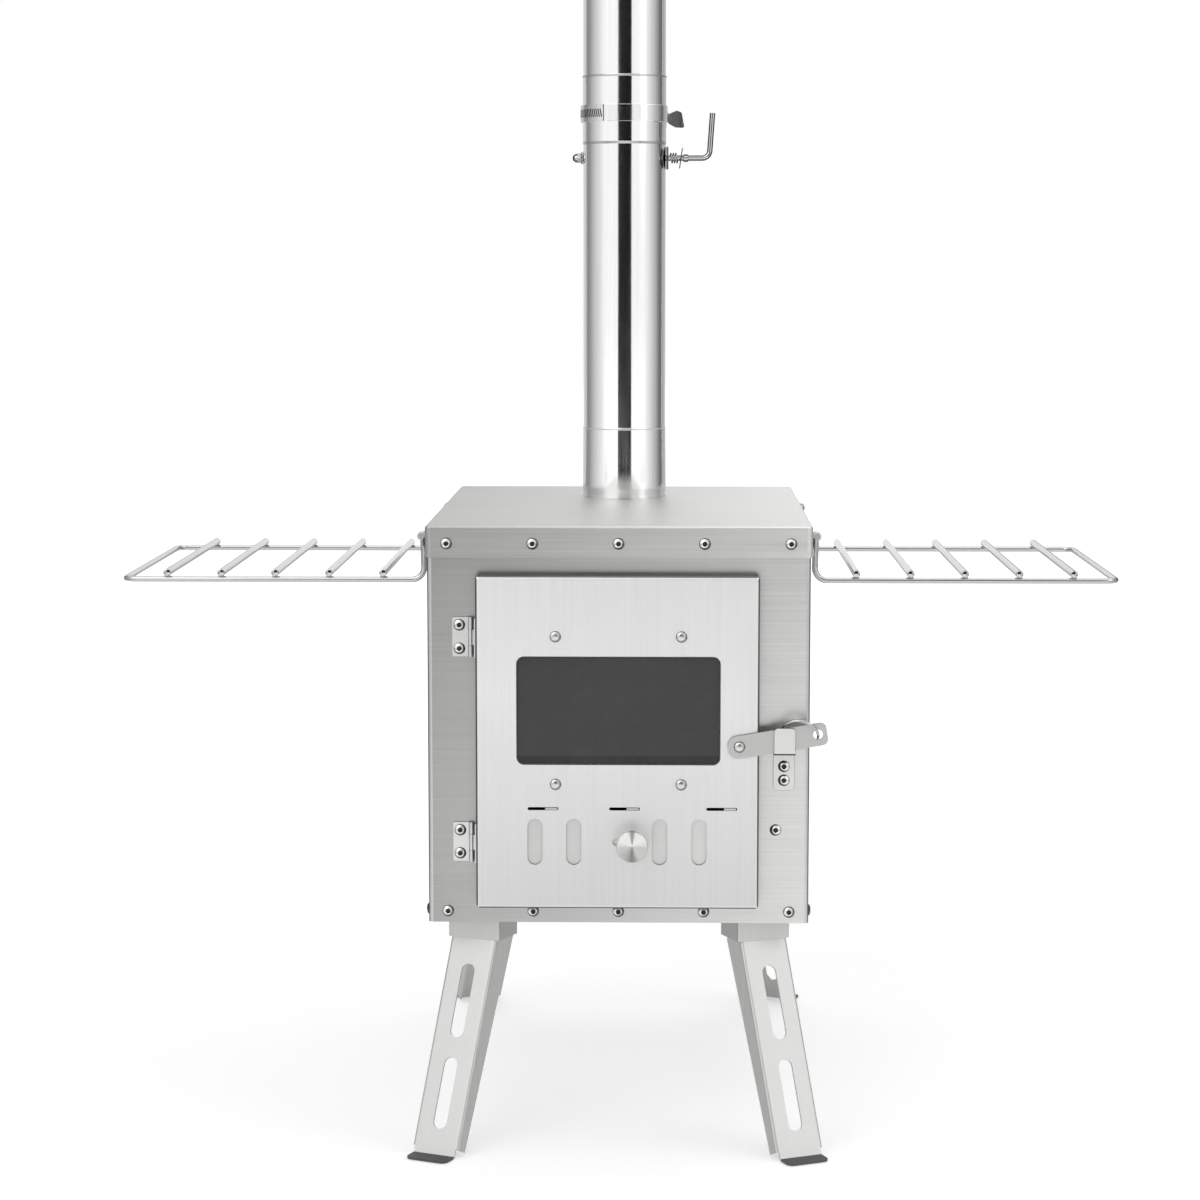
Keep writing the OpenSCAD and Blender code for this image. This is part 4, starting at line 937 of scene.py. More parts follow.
# painted light and shade: a painted highlight on the door's rounded fold, painted shade where the fold
# turns to the side and on the cut edges of the window and slots
kinds = []
for one in doorPan.data.polygons:
    inside = doorLow.x + 3 * mm < one.center.x < doorHigh.x - 3 * mm
    inside = inside and doorLow.z + 3 * mm < one.center.z < doorHigh.z - 3 * mm
    turned = max(abs(one.normal.x), abs(one.normal.z))
    if inside:
        kinds.append(3 if turned > 0.3 else 0)
    else:
        kinds.append(0 if one.normal.y > 0.1 or turned < 0.15 else 1 if turned < 0.6 else 2)
finishPiece(doorPan, "door", "door_panel", doorSteel)
paintFaces(doorPan, kinds, [doorFoldHighlight, foldShade, edgeShade])
print("door folded and cut")


# smooth rivets of the window and the latch

dome = {"height": 1.7 * mm, "radius": 3.65 * mm, "shank": 1.6 * mm, "tail": 0.85 * mm, "tailEdge": 0.4 * mm,
        "windowGrip": 7 * mm, "latchGrip": 2.8 * mm}


def domeRivet(spot, depth):
    # a low smooth dome with its shank and the flattened tail behind the sheet
    headHeight, headRadius, shankRadius = dome["height"], dome["radius"], dome["shank"]
    outline = [(0, -depth - dome["tail"]), (shankRadius * 1.7, -depth - dome["tail"]),
               (shankRadius * 1.9, -depth - dome["tailEdge"]), (shankRadius * 1.9, -depth),
               (shankRadius, -depth), (shankRadius, 0), (headRadius * 0.97, 0),
               (headRadius, headHeight * 0.14)]
    for i in range(1, 8):
        turn = quarterTurn * i / 7
        outline.append((headRadius * math.cos(turn), headHeight * (0.14 + 0.86 * math.sin(turn))))
    place = placeAt(spot, "-Y")
    return mapHead(turnPiece("domeRivet", outline, place, 32, 40), place, headRadius)


heads = []
for middle, size in rivetSpots("window_rivets"):
    heads.append(domeRivet((middle.x, doorFace, middle.z), dome["windowGrip"]))
windowRivets = joinPieces("windowRivets", heads)
finishPiece(windowRivets, "door", "window_rivets", domeSteel)
rivetLow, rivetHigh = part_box("latch_rivet")
latchX, latchZ = (rivetLow.x + rivetHigh.x) / 2, (rivetLow.z + rivetHigh.z) / 2
latchRivet = domeRivet((latchX, rivetLow.y + dome["height"], latchZ), dome["latchGrip"])
finishPiece(latchRivet, "door", "latch_rivet", domeSteel)
print("smooth rivets set")


# air knob, turned with a dished face

knob = {"radius": 10.4 * mm, "height": 16.5 * mm, "neck": 4.5 * mm, "bore": 2.05 * mm, "dish": 1.9 * mm}
r, h = knob["radius"], knob["height"]
knobOutline = [(knob["bore"], 0), (knob["neck"] * 0.95, 0), (knob["neck"], 0.3 * mm),
               (knob["neck"], h * 0.26), (knob["neck"] * 1.07, h * 0.33), (knob["neck"] * 1.3, h * 0.4),
               (r * 0.72, h * 0.56), (r * 0.93, h * 0.73), (r * 0.985, h * 0.79), (r, h * 0.83),
               (r, h * 0.93), (r * 0.985, h * 0.97), (r * 0.955, h * 0.993), (r * 0.92, h),
               (r * 0.86, h - 0.12 * mm), (0.4 * mm, h - knob["dish"]), (0, h - knob["dish"]), (0, h * 0.6),
               (knob["bore"], h * 0.6), (knob["bore"], 0)]
airKnob = turnPiece("airKnob", knobOutline, placeAt((knobMiddle.x, knobHigh.y, knobMiddle.z), "-Y"), 64, 28)
finishPiece(airKnob, "air_slide", "air_knob", knobMetal)
print("knob turned")


# hinges

hinge = {"height": 26 * mm, "leafThickness": 0.9 * mm, "radius": 1.7 * mm, "bore": 1.05 * mm, "pin": 1 * mm,
         "shares": (0.29, 0.41, 0.3), "leafCorner": 1 * mm, "leafGap": 1.2 * mm, "play": 0.3 * mm,
         "soften": 0.15 * mm, "sideSetBack": 3 * mm}
pinLow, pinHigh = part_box("hinge_pins")
hingeX, hingeY = (pinLow.x + pinHigh.x) / 2, (pinLow.y + pinHigh.y) / 2
leafLow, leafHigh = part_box("hinge_frame_leaves")


def knuckleTube(z, height):
    radius, bore, edge = hinge["radius"], hinge["bore"], hinge["soften"]
    outline = [(bore, edge * 0.8), (bore + edge, 0), (radius * 0.93, 0), (radius, edge),
               (radius, height - edge), (radius * 0.93, height), (bore + edge, height),
               (bore, height - edge * 0.8), (bore, edge * 0.8)]
    return turnPiece("knuckle", outline, placeAt((hingeX, hingeY, z)), 32, 40)


frameLeaves, doorLeaves, pins = [], [], []
for base in (pinLow.z, pinHigh.z - hinge["height"]):
    split = base + hinge["shares"][0] * hinge["height"]
    splitTop = split + hinge["shares"][1] * hinge["height"]
    top = base + hinge["height"]
    leaf = roundPlate("leaf", (leafLow.x, base), (hingeX - hinge["leafGap"], top),
                      leafHigh.y - hinge["leafThickness"], hinge["leafThickness"], hinge["leafCorner"],
                      hinge["soften"])
    frameLeaves += [leaf, knuckleTube(base, split - base), knuckleTube(splitTop, top - splitTop)]
    doorLeaves.append(knuckleTube(split + hinge["play"], splitTop - split - 2 * hinge["play"]))
    tongue = makeBlock("tongue",
                       (hingeX + hinge["leafGap"], hingeY - hinge["radius"], split + hinge["play"]),
                       (doorLow.x, hingeY - hinge["radius"] + hinge["leafThickness"],
                        splitTop - hinge["play"]))
    side = makeBlock("side", (doorLow.x - hinge["leafThickness"], doorFace + hinge["sideSetBack"], base),
                     (doorLow.x, hingeY, top))
    for part in (tongue, side):
        applyModifier(part, "BEVEL", width=hinge["soften"], segments=2)
        crisp(part, 40)
    doorLeaves += [tongue, side]
    pin, tall = hinge["pin"], hinge["height"]
    pinOutline = [(0, 0), (pin * 0.7, pin * 0.1), (pin, pin * 0.4), (pin, tall - pin * 0.4),
                  (pin * 0.7, tall - pin * 0.1), (0, tall)]
    pins.append(turnPiece("hingePin", pinOutline, placeAt((hingeX, hingeY, base)), 20, 40))
frameLeafSet = joinPieces("frameHingeLeaves", frameLeaves)
finishPiece(frameLeafSet, "firebox", "hinge_frame_leaves", fittingSteel)
shadeSides(frameLeafSet, edgeShade, 0.6)
doorLeafSet = joinPieces("doorHingeLeaves", doorLeaves)
finishPiece(doorLeafSet, "door", "hinge_door_leaves", fittingSteel)
shadeSides(doorLeafSet, edgeShade, 0.6)
finishPiece(joinPieces("hingePins", pins), "firebox", "hinge_pins", rivetSteel)
print("hinges fitted")


# latch bar and pull ring

latch = {"reach": 51.6 * mm, "tip": 6 * mm, "width": 15 * mm, "thickness": 1.2 * mm,
         "rise": math.radians(9.4), "heelRadius": 6.6 * mm, "tipRadius": 4 * mm, "ringHole": 3.2 * mm,
         "pivotHole": 1.65 * mm, "soften": 0.18 * mm}
barLow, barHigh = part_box("latch_bar")
half = latch["width"] / 2
barEnd = latch["reach"] + latch["tip"]
latchBar = makeBlock("latchBar", (-half, -latch["thickness"] / 2, -half),
                     (barEnd, latch["thickness"] / 2, half))
roundEdges(latchBar, lambda a, b: abs(a.y - b.y) > 0.5 * mm and a.x < 0, latch["heelRadius"], 8)
roundEdges(latchBar, lambda a, b: abs(a.y - b.y) > 0.5 * mm and min(a.x, b.x) > barEnd - 0.1 * mm,
           latch["tipRadius"], 6)
for x, radius in ((0, latch["pivotHole"]), (latch["reach"], latch["ringHole"])):
    cutOut(latchBar, [makeRod("cutter", radius, 6 * mm, (x, 0, 0), "Y")])
softenEdges(latchBar, latch["soften"], 2, 60)
barY = (barLow.y + barHigh.y) / 2
inLatch = Matrix.Translation((latchX, barY, latchZ)) @ Matrix.Rotation(-latch["rise"], 4, "Y")
latchBar.matrix_world = inLatch
settle(latchBar, "latchBar")
crisp(latchBar)
finishPiece(latchBar, "latch", "latch_bar", latchSteel)
shadeSides(latchBar, edgeShade)

ring = {"radius": 12 * mm, "wire": 0.9 * mm, "near": (51.6 * mm, 0), "far": (32 * mm, 10 * mm),
        "tilt": math.radians(38)}
chord = Vector(ring["far"]) - Vector(ring["near"])
drop = math.sqrt(ring["radius"] ** 2 - (chord.length / 2) ** 2)
ringSpots = [(ring["radius"] * math.cos(fullTurn * i / 56), ring["radius"] * math.sin(fullTurn * i / 56), 0)
             for i in range(56)]
pullRing = makeWire("pullRing", ringSpots, ring["wire"], 3, closed=True)
inPlane = inLatch @ Matrix.Rotation(quarterTurn, 4, "X")
pullRing.matrix_world = (inPlane @ Matrix.Translation((ring["near"][0], ring["near"][1], 0))
                         @ Matrix.Rotation(math.atan2(chord.y, chord.x), 4, "Z")
                         @ Matrix.Rotation(-ring["tilt"], 4, "X")
                         @ Matrix.Translation((chord.length / 2, drop, 0)))
settle(pullRing, "pullRing")
finishPiece(pullRing, "pull_ring", "latch_ring", wireSteel)
print("latch made")


# catch: riveted plate, ledge and flap folded from one strip

catch = {"width": 13.9 * mm, "sheet": 1.2 * mm, "flapHeight": 16.8 * mm, "cornerRadius": 2.5 * mm,
         "foldRadius": 1.3 * mm, "soften": 0.15 * mm}
catchLow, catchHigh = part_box("latch_catch")
ledgeZ = catchHigh.z - catch["flapHeight"]
foldOut, sheet = catch["foldRadius"], catch["sheet"]
strip = [(catchHigh.y - sheet / 2, catchLow.z), (catchHigh.y - sheet / 2, ledgeZ - sheet / 2),
         (catchLow.y + sheet / 2, ledgeZ - sheet / 2), (catchLow.y + sheet / 2, catchHigh.z)]
stripSpots = bentPath([(catchLow.x, y, z) for y, z in strip], foldOut, 5)
catchStrip = drawLine("catchStrip", stripSpots)
pullOut(catchStrip, (catch["width"], 0, 0))
for end in (catchLow.z, catchHigh.z):
    selectSpots(catchStrip, lambda spot: abs(spot.z - end) < 0.01 * mm)
    bpy.ops.mesh.bevel(offset=catch["cornerRadius"], segments=6, affect="VERTICES")
    editOff()
giveWall(catchStrip, sheet, 0)
closeMesh(catchStrip)
softenEdges(catchStrip, catch["soften"], 2, 60)
crisp(catchStrip)
finishPiece(catchStrip, "firebox", "latch_catch", fittingSteel)
shadeSides(catchStrip, edgeShade, 0.93)
print("catch folded")


# damper: rod, nut, washers and spring

damper = {"rod": 2 * mm, "bendX": 61.5 * mm, "bendRadius": 5.5 * mm, "lean": math.radians(4),
          "tip": 0.4 * mm, "stopRadius": 2.8 * mm, "stopLength": 3.5 * mm, "stopEdge": 0.3 * mm,
          "stopGap": 0.4 * mm, "flank": 0.8}
spring = {"radius": 3.5 * mm, "wire": 0.5 * mm, "turns": 3, "rings": 20, "end": 1 * mm, "sink": 0.05 * mm}
washer = {"bore": 2.05 * mm, "seatRadius": 8.25 * mm, "seatThickness": 1.6 * mm, "tiltRadius": 7.5 * mm,
          "tiltBore": 2.4 * mm, "tiltThickness": 0.8 * mm, "tilt": math.radians(8), "tiltGap": 1 * mm}
nut = {"washerRadius": 4.5 * mm, "washerThickness": 0.8 * mm, "washerEdge": 0.2 * mm, "hexRadius": 3.8 * mm,
       "hexLength": 3.2 * mm, "hexMiddle": 2.4 * mm, "soften": 0.3 * mm, "domeRadius": 3.2 * mm,
       "domeHeight": 3.3 * mm, "domeFrom": 4 * mm, "domeSink": 0.2 * mm}
rodR, handleTop, bendX = damper["rod"], damperRodHigh.z, damper["bendX"]
rodCorners = [(damperRodLow.x, flueY, damperZ), (bendX, flueY, damperZ),
              (bendX + (handleTop - damperZ) * math.tan(damper["lean"]), flueY, handleTop - damper["tip"])]
rodWire = makeWire("damperRodWire", bentPath(rodCorners, damper["bendRadius"], 10), rodR, 4)
washerLow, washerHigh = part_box("damper_washers")
springLow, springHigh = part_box("damper_spring")
stopR, stopL, stopEdge = damper["stopRadius"], damper["stopLength"], damper["stopEdge"]
stopOutline = [(rodR, 0), (stopR * 0.9, 0), (stopR, stopEdge), (stopR, stopL - stopEdge),
               (stopR * 0.9, stopL), (rodR, stopL), (rodR, 0)]
rodStop = turnPiece("rodStop", stopOutline,
                    placeAt((washerHigh.x + damper["stopGap"], flueY, damperZ), "+X"), 32, 40)
damperRod = finishPiece(joinPieces("damperRod", [rodWire, rodStop]), "damper", "damper_rod",
                        rodSteel)

springSpots = [Vector((springLow.x + spring["sink"], flueY + spring["radius"], damperZ))]
coilStart, coilEnd = springLow.x + spring["end"], springHigh.x - spring["end"]
allRings = spring["turns"] * spring["rings"]
for i in range(allRings + 1):
    turn = fullTurn * i / spring["rings"]
    springSpots.append(Vector((coilStart + (coilEnd - coilStart) * i / allRings,
                               flueY + spring["radius"] * math.cos(turn),
                               damperZ + spring["radius"] * math.sin(turn))))
springSpots.append(springSpots[-1] + Vector((spring["end"] - spring["sink"], 0, 0)))
damperSpring = makeWire("damperSpring", springSpots, spring["wire"], 2)
damperSpring = finishPiece(damperSpring, "damper", "damper_spring", rodSteel)


def washerPiece(x, radius, bore, thickness, lean):
    edge = thickness * 0.2
    outline = [(bore, 0), (radius - edge, 0), (radius, edge), (radius, thickness - edge),
               (radius - edge, thickness), (bore, thickness), (bore, 0)]
    place = Matrix.Translation((x, flueY, damperZ)) @ Matrix.Rotation(quarterTurn + lean, 4, "Y")
    return turnPiece("washer", outline, place, 48, 40)


seatWasher = washerPiece(washerLow.x, washer["seatRadius"], washer["bore"], washer["seatThickness"], 0)
tiltWasher = washerPiece(springHigh.x + washer["tiltGap"], washer["tiltRadius"], washer["tiltBore"],
                         washer["tiltThickness"], washer["tilt"])
finishPiece(joinPieces("damperWashers", [seatWasher, tiltWasher]), "damper", "damper_washers",
            darkWasher)

nutEndX = damperNutHigh.x
bore, wide, thick, edge = washer["bore"], nut["washerRadius"], nut["washerThickness"], nut["washerEdge"]
nutWasher = [(bore, 0), (wide - edge, 0), (wide, edge), (wide, thick - edge), (wide - edge, thick),
             (bore, thick), (bore, 0)]
washerPart = turnPiece("nutWasher", nutWasher, placeAt((nutEndX, flueY, damperZ), "-X"), 32, 40)
hexPart = makeRod("nutHex", nut["hexRadius"], nut["hexLength"],
                  (nutEndX - nut["hexMiddle"], flueY, damperZ), "X", 6)
applyModifier(hexPart, "BEVEL", width=nut["soften"], segments=2)
smooth(hexPart, 40)
domeR, domeH = nut["domeRadius"], nut["domeHeight"]
domeOutline = [(0, domeH)]
for i in range(1, 9):
    turn = quarterTurn * i / 8
    domeOutline.append((domeR * math.sin(turn), domeH * math.cos(turn)))
domeOutline += [(domeR, -nut["domeSink"]), (0, -nut["domeSink"])]
domePart = turnPiece("nutDome", domeOutline,
                     placeAt((nutEndX - nut["domeFrom"], flueY, damperZ), "-X"), 32, 40)
damperNut = finishPiece(joinPieces("damperNut", [washerPart, hexPart, domePart]), "damper", "damper_nut",
                        rodSteel)
# painted shade: dark faces along the upper and lower flanks of the bright rod, spring and nut
for piece in (damperRod, damperSpring, damperNut):
    shadeSides(piece, flankShade, damper["flank"])
print("damper fitted")


# legs: one folded sheet each, a slotted channel whose face runs on into the foot

leg = {
    "width": 34 * mm,
    "sheet": 1.5 * mm,
    "face": 12 * mm,
    "top": 4.5 * mm,
    "flangeTop": 21 * mm,
    "flangeEnd": 10 * mm,
    "flangeLift": 6 * mm,
    "topCorner": 4.5 * mm,
    "foldRadius": 2.2 * mm,
    "slotWidth": 9.8 * mm,
    "slots": ((0.16, 0.484), (0.571, 0.88)),
    "footLength": 12 * mm,
    "footCorner": 4.5 * mm,
    "footBend": 1 * mm,
    "soften": 0.2 * mm,
    "tilt": math.radians(23.5),
    "yaw": math.radians(24),
    "pinHole": 2.55 * mm,
    "pinX": 90.5 * mm,
    "pinY": 149.7 * mm,
    "pinZ": 135 * mm,
}
legReach = (leg["pinZ"] + leg["face"] * math.sin(leg["tilt"])) / math.cos(leg["tilt"])


def legPlace(side, end):
    # from a leg's own axes, pin at the origin and face to -Y, to its corner of the stove
    place = Matrix.Translation((side * leg["pinX"], end * leg["pinY"], leg["pinZ"]))
    if end > 0:
        place = place @ Matrix.Scale(-1, 4, (0, 1, 0))
    return place @ Matrix.Rotation(side * leg["yaw"], 4, "Z")


def cornerName(side, end, joined):
    words = ("front" if end < 0 else "rear", "left" if side < 0 else "right")
    return "_".join(words) if joined else "".join(word.capitalize() for word in words)


def makeLeg(side, end):
    half, sheet, face, tilt = leg["width"] / 2, leg["sheet"], leg["face"], leg["tilt"]
    flangeFoot = leg["flangeLift"] - legReach
    channel = makeBlock("channel", (-half, -face, flangeFoot), (half, leg["flangeTop"] - face, leg["top"]))
    removeFaces(channel, lambda c, n: n.y > 0.9 or abs(n.z) > 0.9)
    # the flanges taper towards the foot
    selectSpots(channel, lambda spot: spot.y > 0 and spot.z < 0)
    bpy.ops.transform.translate(value=(0, leg["flangeEnd"] - leg["flangeTop"], 0))
    editOff()
    roundEdges(channel, lambda a, b: max(a.y, b.y) < -face + 0.1 * mm and abs(a.z - b.z) > 50 * mm,
               leg["foldRadius"], 5)
    # the face's lower edge is drawn on, round the bend and out to the toe
    heel = Vector((0, -face, sheet / math.cos(tilt) - legReach))
    outward = Vector((0, -math.cos(tilt), -math.sin(tilt)))
    upward = Vector((0, -math.sin(tilt), math.cos(tilt)))
    toe = Vector((0, -face, -legReach)) + outward * leg["footLength"] + upward * sheet
    path = bentPath([Vector((0, -face, flangeFoot)), heel, toe], leg["footBend"], 5)
    flatHalf = half - leg["foldRadius"] + 0.05 * mm
    selectEdges(channel, lambda a, b: max(a.z, b.z) < flangeFoot + 0.01 * mm
                and max(a.y, b.y) < -face + 0.01 * mm and max(abs(a.x), abs(b.x)) < flatHalf)
    for before, after in zip(path, path[1:]):
        bpy.ops.mesh.extrude_region_move(TRANSFORM_OT_translate={"value": after - before})
    editOff()
    selectSpots(channel, lambda spot: math.hypot(spot.y - toe.y, spot.z - toe.z) < 0.1 * mm)
    bpy.ops.mesh.bevel(offset=leg["footCorner"], segments=6, affect="VERTICES")
    editOff()
    giveWall(channel, sheet)
    closeMesh(channel, weldFine)
    reach = leg["topCorner"]
    shoulder = makeBlock("cutter", (-half - 5 * mm, -reach, -reach), (half + 5 * mm, reach, reach))
    shoulder.matrix_world = (Matrix.Translation((0, leg["flangeTop"] - face, leg["top"]))
                             @ Matrix.Rotation(math.radians(45), 4, "X"))
    settle(shoulder, "cutter")
    cutters = [shoulder, makeRod("cutter", leg["pinHole"], 60 * mm, (0, 0, 0), "X")]
    for first, last in leg["slots"]:
        cutters.append(slotCutter((0, -(first + last) / 2 * legReach), (last - first) * legReach,
                                  leg["slotWidth"], -face - 2 * mm, 5 * mm, True))
    cutOut(channel, cutters)
    softenEdges(channel, leg["soften"], 2, 60)
    # painted shade: the leg's flanges and inner faces get a darker steel, the foot a dark one
    kinds = []
    for one in channel.data.polygons:
        onFoot = one.center.y < -face - 0.5 * mm
        kinds.append(2 if onFoot else 1 if abs(one.normal.x) > 0.75 or one.normal.y > 0.8 else 0)
    channel.matrix_world = legPlace(side, end) @ Matrix.Rotation(-tilt, 4, "X")
    settle(channel, "leg" + cornerName(side, end, False))
    turnOutwards(channel)
    crisp(channel)
    finishPiece(channel, cornerName(side, end, True) + "_leg", "leg_" + cornerName(side, end, True),
                legSteel)
    paintFaces(channel, kinds, [flangeShade, footShade])


for side in (-1, 1):
    for end in (-1, 1):
        makeLeg(side, end)
print("legs folded")


# leg brackets and the pins inside them

bracket = {
    "width": 38.4 * mm,
    "front": 14.25 * mm,
    "back": 12 * mm,
    "height": 14 * mm,
    "sheet": 1.5 * mm,
    "foldRadius": 2 * mm,
    "topRadius": 0.8 * mm,
    "pinRadius": 2.5 * mm,
    "pinShort": 1 * mm,
    "pinEdge": 0.4 * mm,
}
shells, pinSet, kinds = [], [], []
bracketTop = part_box("leg_brackets")[1].z - leg["pinZ"]
for side in (-1, 1):
    for end in (-1, 1):
        half, top = bracket["width"] / 2, bracketTop
        shell = makeBlock("bracket", (-half, -bracket["front"], top - bracket["height"]),
                          (half, bracket["back"], top))
        removeFaces(shell, lambda c, n: n.z < -0.9 or n.y > 0.9)
        roundEdges(shell, lambda a, b: abs(a.z - b.z) > 5 * mm and max(a.y, b.y) < 0,
                   bracket["foldRadius"], 4)
        roundEdges(shell, lambda a, b: min(a.z, b.z) > top - 0.1 * mm
                   and min(a.y, b.y) < bracket["back"] - 0.1 * mm, bracket["topRadius"], 3)
        giveWall(shell, bracket["sheet"])
        softenEdges(shell, leg["soften"], 2, 60)
        # painted shade: the brackets' side and lower faces get a darker steel
        kinds += [1 if abs(one.normal.x) > 0.75 or one.normal.z < -0.8 else 0
                  for one in shell.data.polygons]
        shell.matrix_world = legPlace(side, end)
        settle(shell, "bracket")
        turnOutwards(shell)
        shells.append(shell)
        pinHalf, r, edge = half - bracket["pinShort"], bracket["pinRadius"], bracket["pinEdge"]
        pinOutline = [(0, -pinHalf), (r - edge, -pinHalf), (r, edge - pinHalf), (r, pinHalf - edge),
                      (r - edge, pinHalf), (0, pinHalf)]
        pinSet.append(turnPiece("legPin", pinOutline,
                                legPlace(side, end) @ Matrix.Rotation(quarterTurn, 4, "Y"), 24, 40))
legBrackets = joinPieces("legBrackets", shells)
crisp(legBrackets)
finishPiece(legBrackets, "firebox", "leg_brackets", legSteel)
paintFaces(legBrackets, kinds, [bracketSideShade])
finishPiece(joinPieces("legPins", pinSet), "firebox", "leg_pins", rivetSteel)
print("brackets folded")


# firebox: front frame, side walls, back panel and base pan

body = {"sheet": 1 * mm, "foldRadius": 3 * mm, "mouthLap": 9 * mm, "mouthRadius": 6 * mm,
        "soften": 0.15 * mm, "panCorner": 2 * mm, "panFold": 1.2 * mm}


def makeTray(name, node, outwards):
    # an upright panel with both its sides folded back
    low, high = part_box(node)
    tray = makeBlock(name, low, high)
    faceY = low.y if outwards < 0 else high.y
    removeFaces(tray, lambda c, n: n.y * outwards < -0.9 or abs(n.z) > 0.9)
    roundEdges(tray, lambda a, b: abs(a.z - b.z) > 50 * mm and abs(a.y - faceY) < 0.1 * mm,
               body["foldRadius"], 6)
    giveWall(tray, body["sheet"])
    return tray


frontFrame = makeTray("frontFrame", "front_frame", -1)
frameLow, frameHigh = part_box("front_frame")
mouth = makeBlock("cutter",
                  (doorLow.x + body["mouthLap"], frameLow.y - 5 * mm, doorLow.z + body["mouthLap"]),
                  (doorHigh.x - body["mouthLap"], frameLow.y + 5 * mm, doorHigh.z - body["mouthLap"]))
roundEdges(mouth, lambda a, b: abs(a.y - b.y) > 3 * mm, body["mouthRadius"], 6)
cutOut(frontFrame, [mouth])
softenEdges(frontFrame, body["soften"], 2, 60)
crisp(frontFrame)
# painted light and shade: the front of each side fold gets a lighter steel, its side-facing faces a dark
# one
kinds = []
for one in frontFrame.data.polygons:
    atEdge = abs(one.center.x) > frameHigh.x - body["foldRadius"] - 0.1 * mm
    atEdge = atEdge and one.center.y < frameLow.y + 5 * mm
    kinds.append(0 if not atEdge else 2 if abs(one.normal.x) > 0.7 else 1 if one.normal.y < -0.1 else 0)
finishPiece(frontFrame, "firebox", "front_frame", frameSteel)
paintFaces(frontFrame, kinds, [foldHighlight, foldShade])

backPanel = makeTray("backPanel", "back_panel", 1)
softenEdges(backPanel, body["soften"], 2, 60)
crisp(backPanel)
finishPiece(backPanel, "firebox", "back_panel", frameSteel)

for word in ("left", "right"):
    low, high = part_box("side_panel_" + word)
    wall = makeBlock("sideWall" + word.capitalize(), low, high)
    applyModifier(wall, "BEVEL", width=body["soften"], segments=2)
    crisp(wall)
    finishPiece(wall, "firebox", "side_panel_" + word, sideSteel)

low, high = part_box("base_pan")
basePan = makeBlock("basePan", low, high)
removeFaces(basePan, lambda c, n: n.z > 0.9)
roundEdges(basePan, lambda a, b: abs(a.z - b.z) > 5 * mm, body["panCorner"], 4)
roundEdges(basePan, lambda a, b: max(a.z, b.z) < low.z + 0.1 * mm, body["panFold"], 4)
giveWall(basePan, body["sheet"])
closeMesh(basePan, weldFine)
crisp(basePan)
finishPiece(basePan, "firebox", "base_pan", sideSteel)
print("firebox folded")


# fire grate: a slotted sheet with its long sides folded down

grate = {"sheet": 1.5 * mm, "rows": 9, "slotShare": 0.36, "slotHeight": 8 * mm, "bend": 2.5 * mm}
low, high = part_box("fire_grate")
fireGrate = makeBlock("fireGrate", low, high)
removeFaces(fireGrate, lambda c, n: n.z < -0.9 or abs(n.y) > 0.9)
roundEdges(fireGrate, lambda a, b: min(a.z, b.z) > high.z - 0.1 * mm and abs(a.y - b.y) > 50 * mm,
           grate["bend"], 5)
giveWall(fireGrate, grate["sheet"])
grateWidth, grateLength = high.x - low.x, high.y - low.y
slotLength = grateWidth * grate["slotShare"]
grateCuts = []
for side in (-1, 1):
    for i in range(grate["rows"]):
        x, y = side * grateWidth / 4, low.y + (i + 1) * grateLength / (grate["rows"] + 1)
        cut = makeBlock("cut", (x - slotLength / 2, y - grate["slotHeight"] / 2, high.z - 5 * mm),
                        (x + slotLength / 2, y + grate["slotHeight"] / 2, high.z + 5 * mm))
        roundEdges(cut, lambda a, b: abs(a.z - b.z) > 5 * mm, grate["slotHeight"] * 0.499, 5)
        grateCuts.append(cut)
cutOut(fireGrate, [joinPieces("cutter", grateCuts)])
softenEdges(fireGrate, 0.2 * mm, 1, 60)
crisp(fireGrate)
finishPiece(fireGrate, "firebox", "fire_grate", grateSteel)
print("grate slotted")


# window: ground-edged glass, its woven gasket and the retainer frame behind

window = {"grind": 0.6 * mm, "gasketShow": 0.6 * mm, "tooth": 0.35 * mm, "teeth": 90, "corner": 5 * mm,
          "innerCorner": 4.5 * mm, "soften": 0.12 * mm}
glass = makeBlock("windowPane", glassLow, glassHigh)
roundEdges(glass, lambda a, b: abs(a.y - b.y) > 2 * mm, window["corner"], 6)
softenEdges(glass, window["grind"], 2, 50)
crisp(glass)
finishPiece(glass, "door", "window_glass", windowGlass)


def frameCutter(node, inset, teeth):
    # a window-sized cutter; a gasket's has a fine ragged edge, as cut tape has
    low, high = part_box(node)
    left, right = glassLow.x + lap + inset, glassHigh.x - lap - inset
    foot, top = glassLow.z + lap + inset, glassHigh.z - lap - inset
    cutter = makeBlock("cutter", (left, low.y - 2 * mm, foot), (right, high.y + 2 * mm, top))
    roundEdges(cutter, lambda a, b: abs(a.y - b.y) > 2 * mm, window["innerCorner"], 5)
    if teeth:
        selectEdges(cutter, lambda a, b: abs(a.z - b.z) < 0.01 * mm and abs(a.x - b.x) > 50 * mm)
        bpy.ops.mesh.subdivide(number_cuts=teeth)
        editOff()
        for edgeZ, towards in ((foot, 1), (top, -1)):
            for remainder in (1, 3):
                selectSpots(cutter, lambda spot: abs(spot.z - edgeZ) < 0.01 * mm and remainder
                            == round((spot.x - left) / (right - left) * (teeth + 1)) % 4)
                rise = window["tooth"] * towards * (1 if remainder == 1 else 0.4)
                bpy.ops.transform.translate(value=(0, 0, rise))
                editOff()
    return cutter


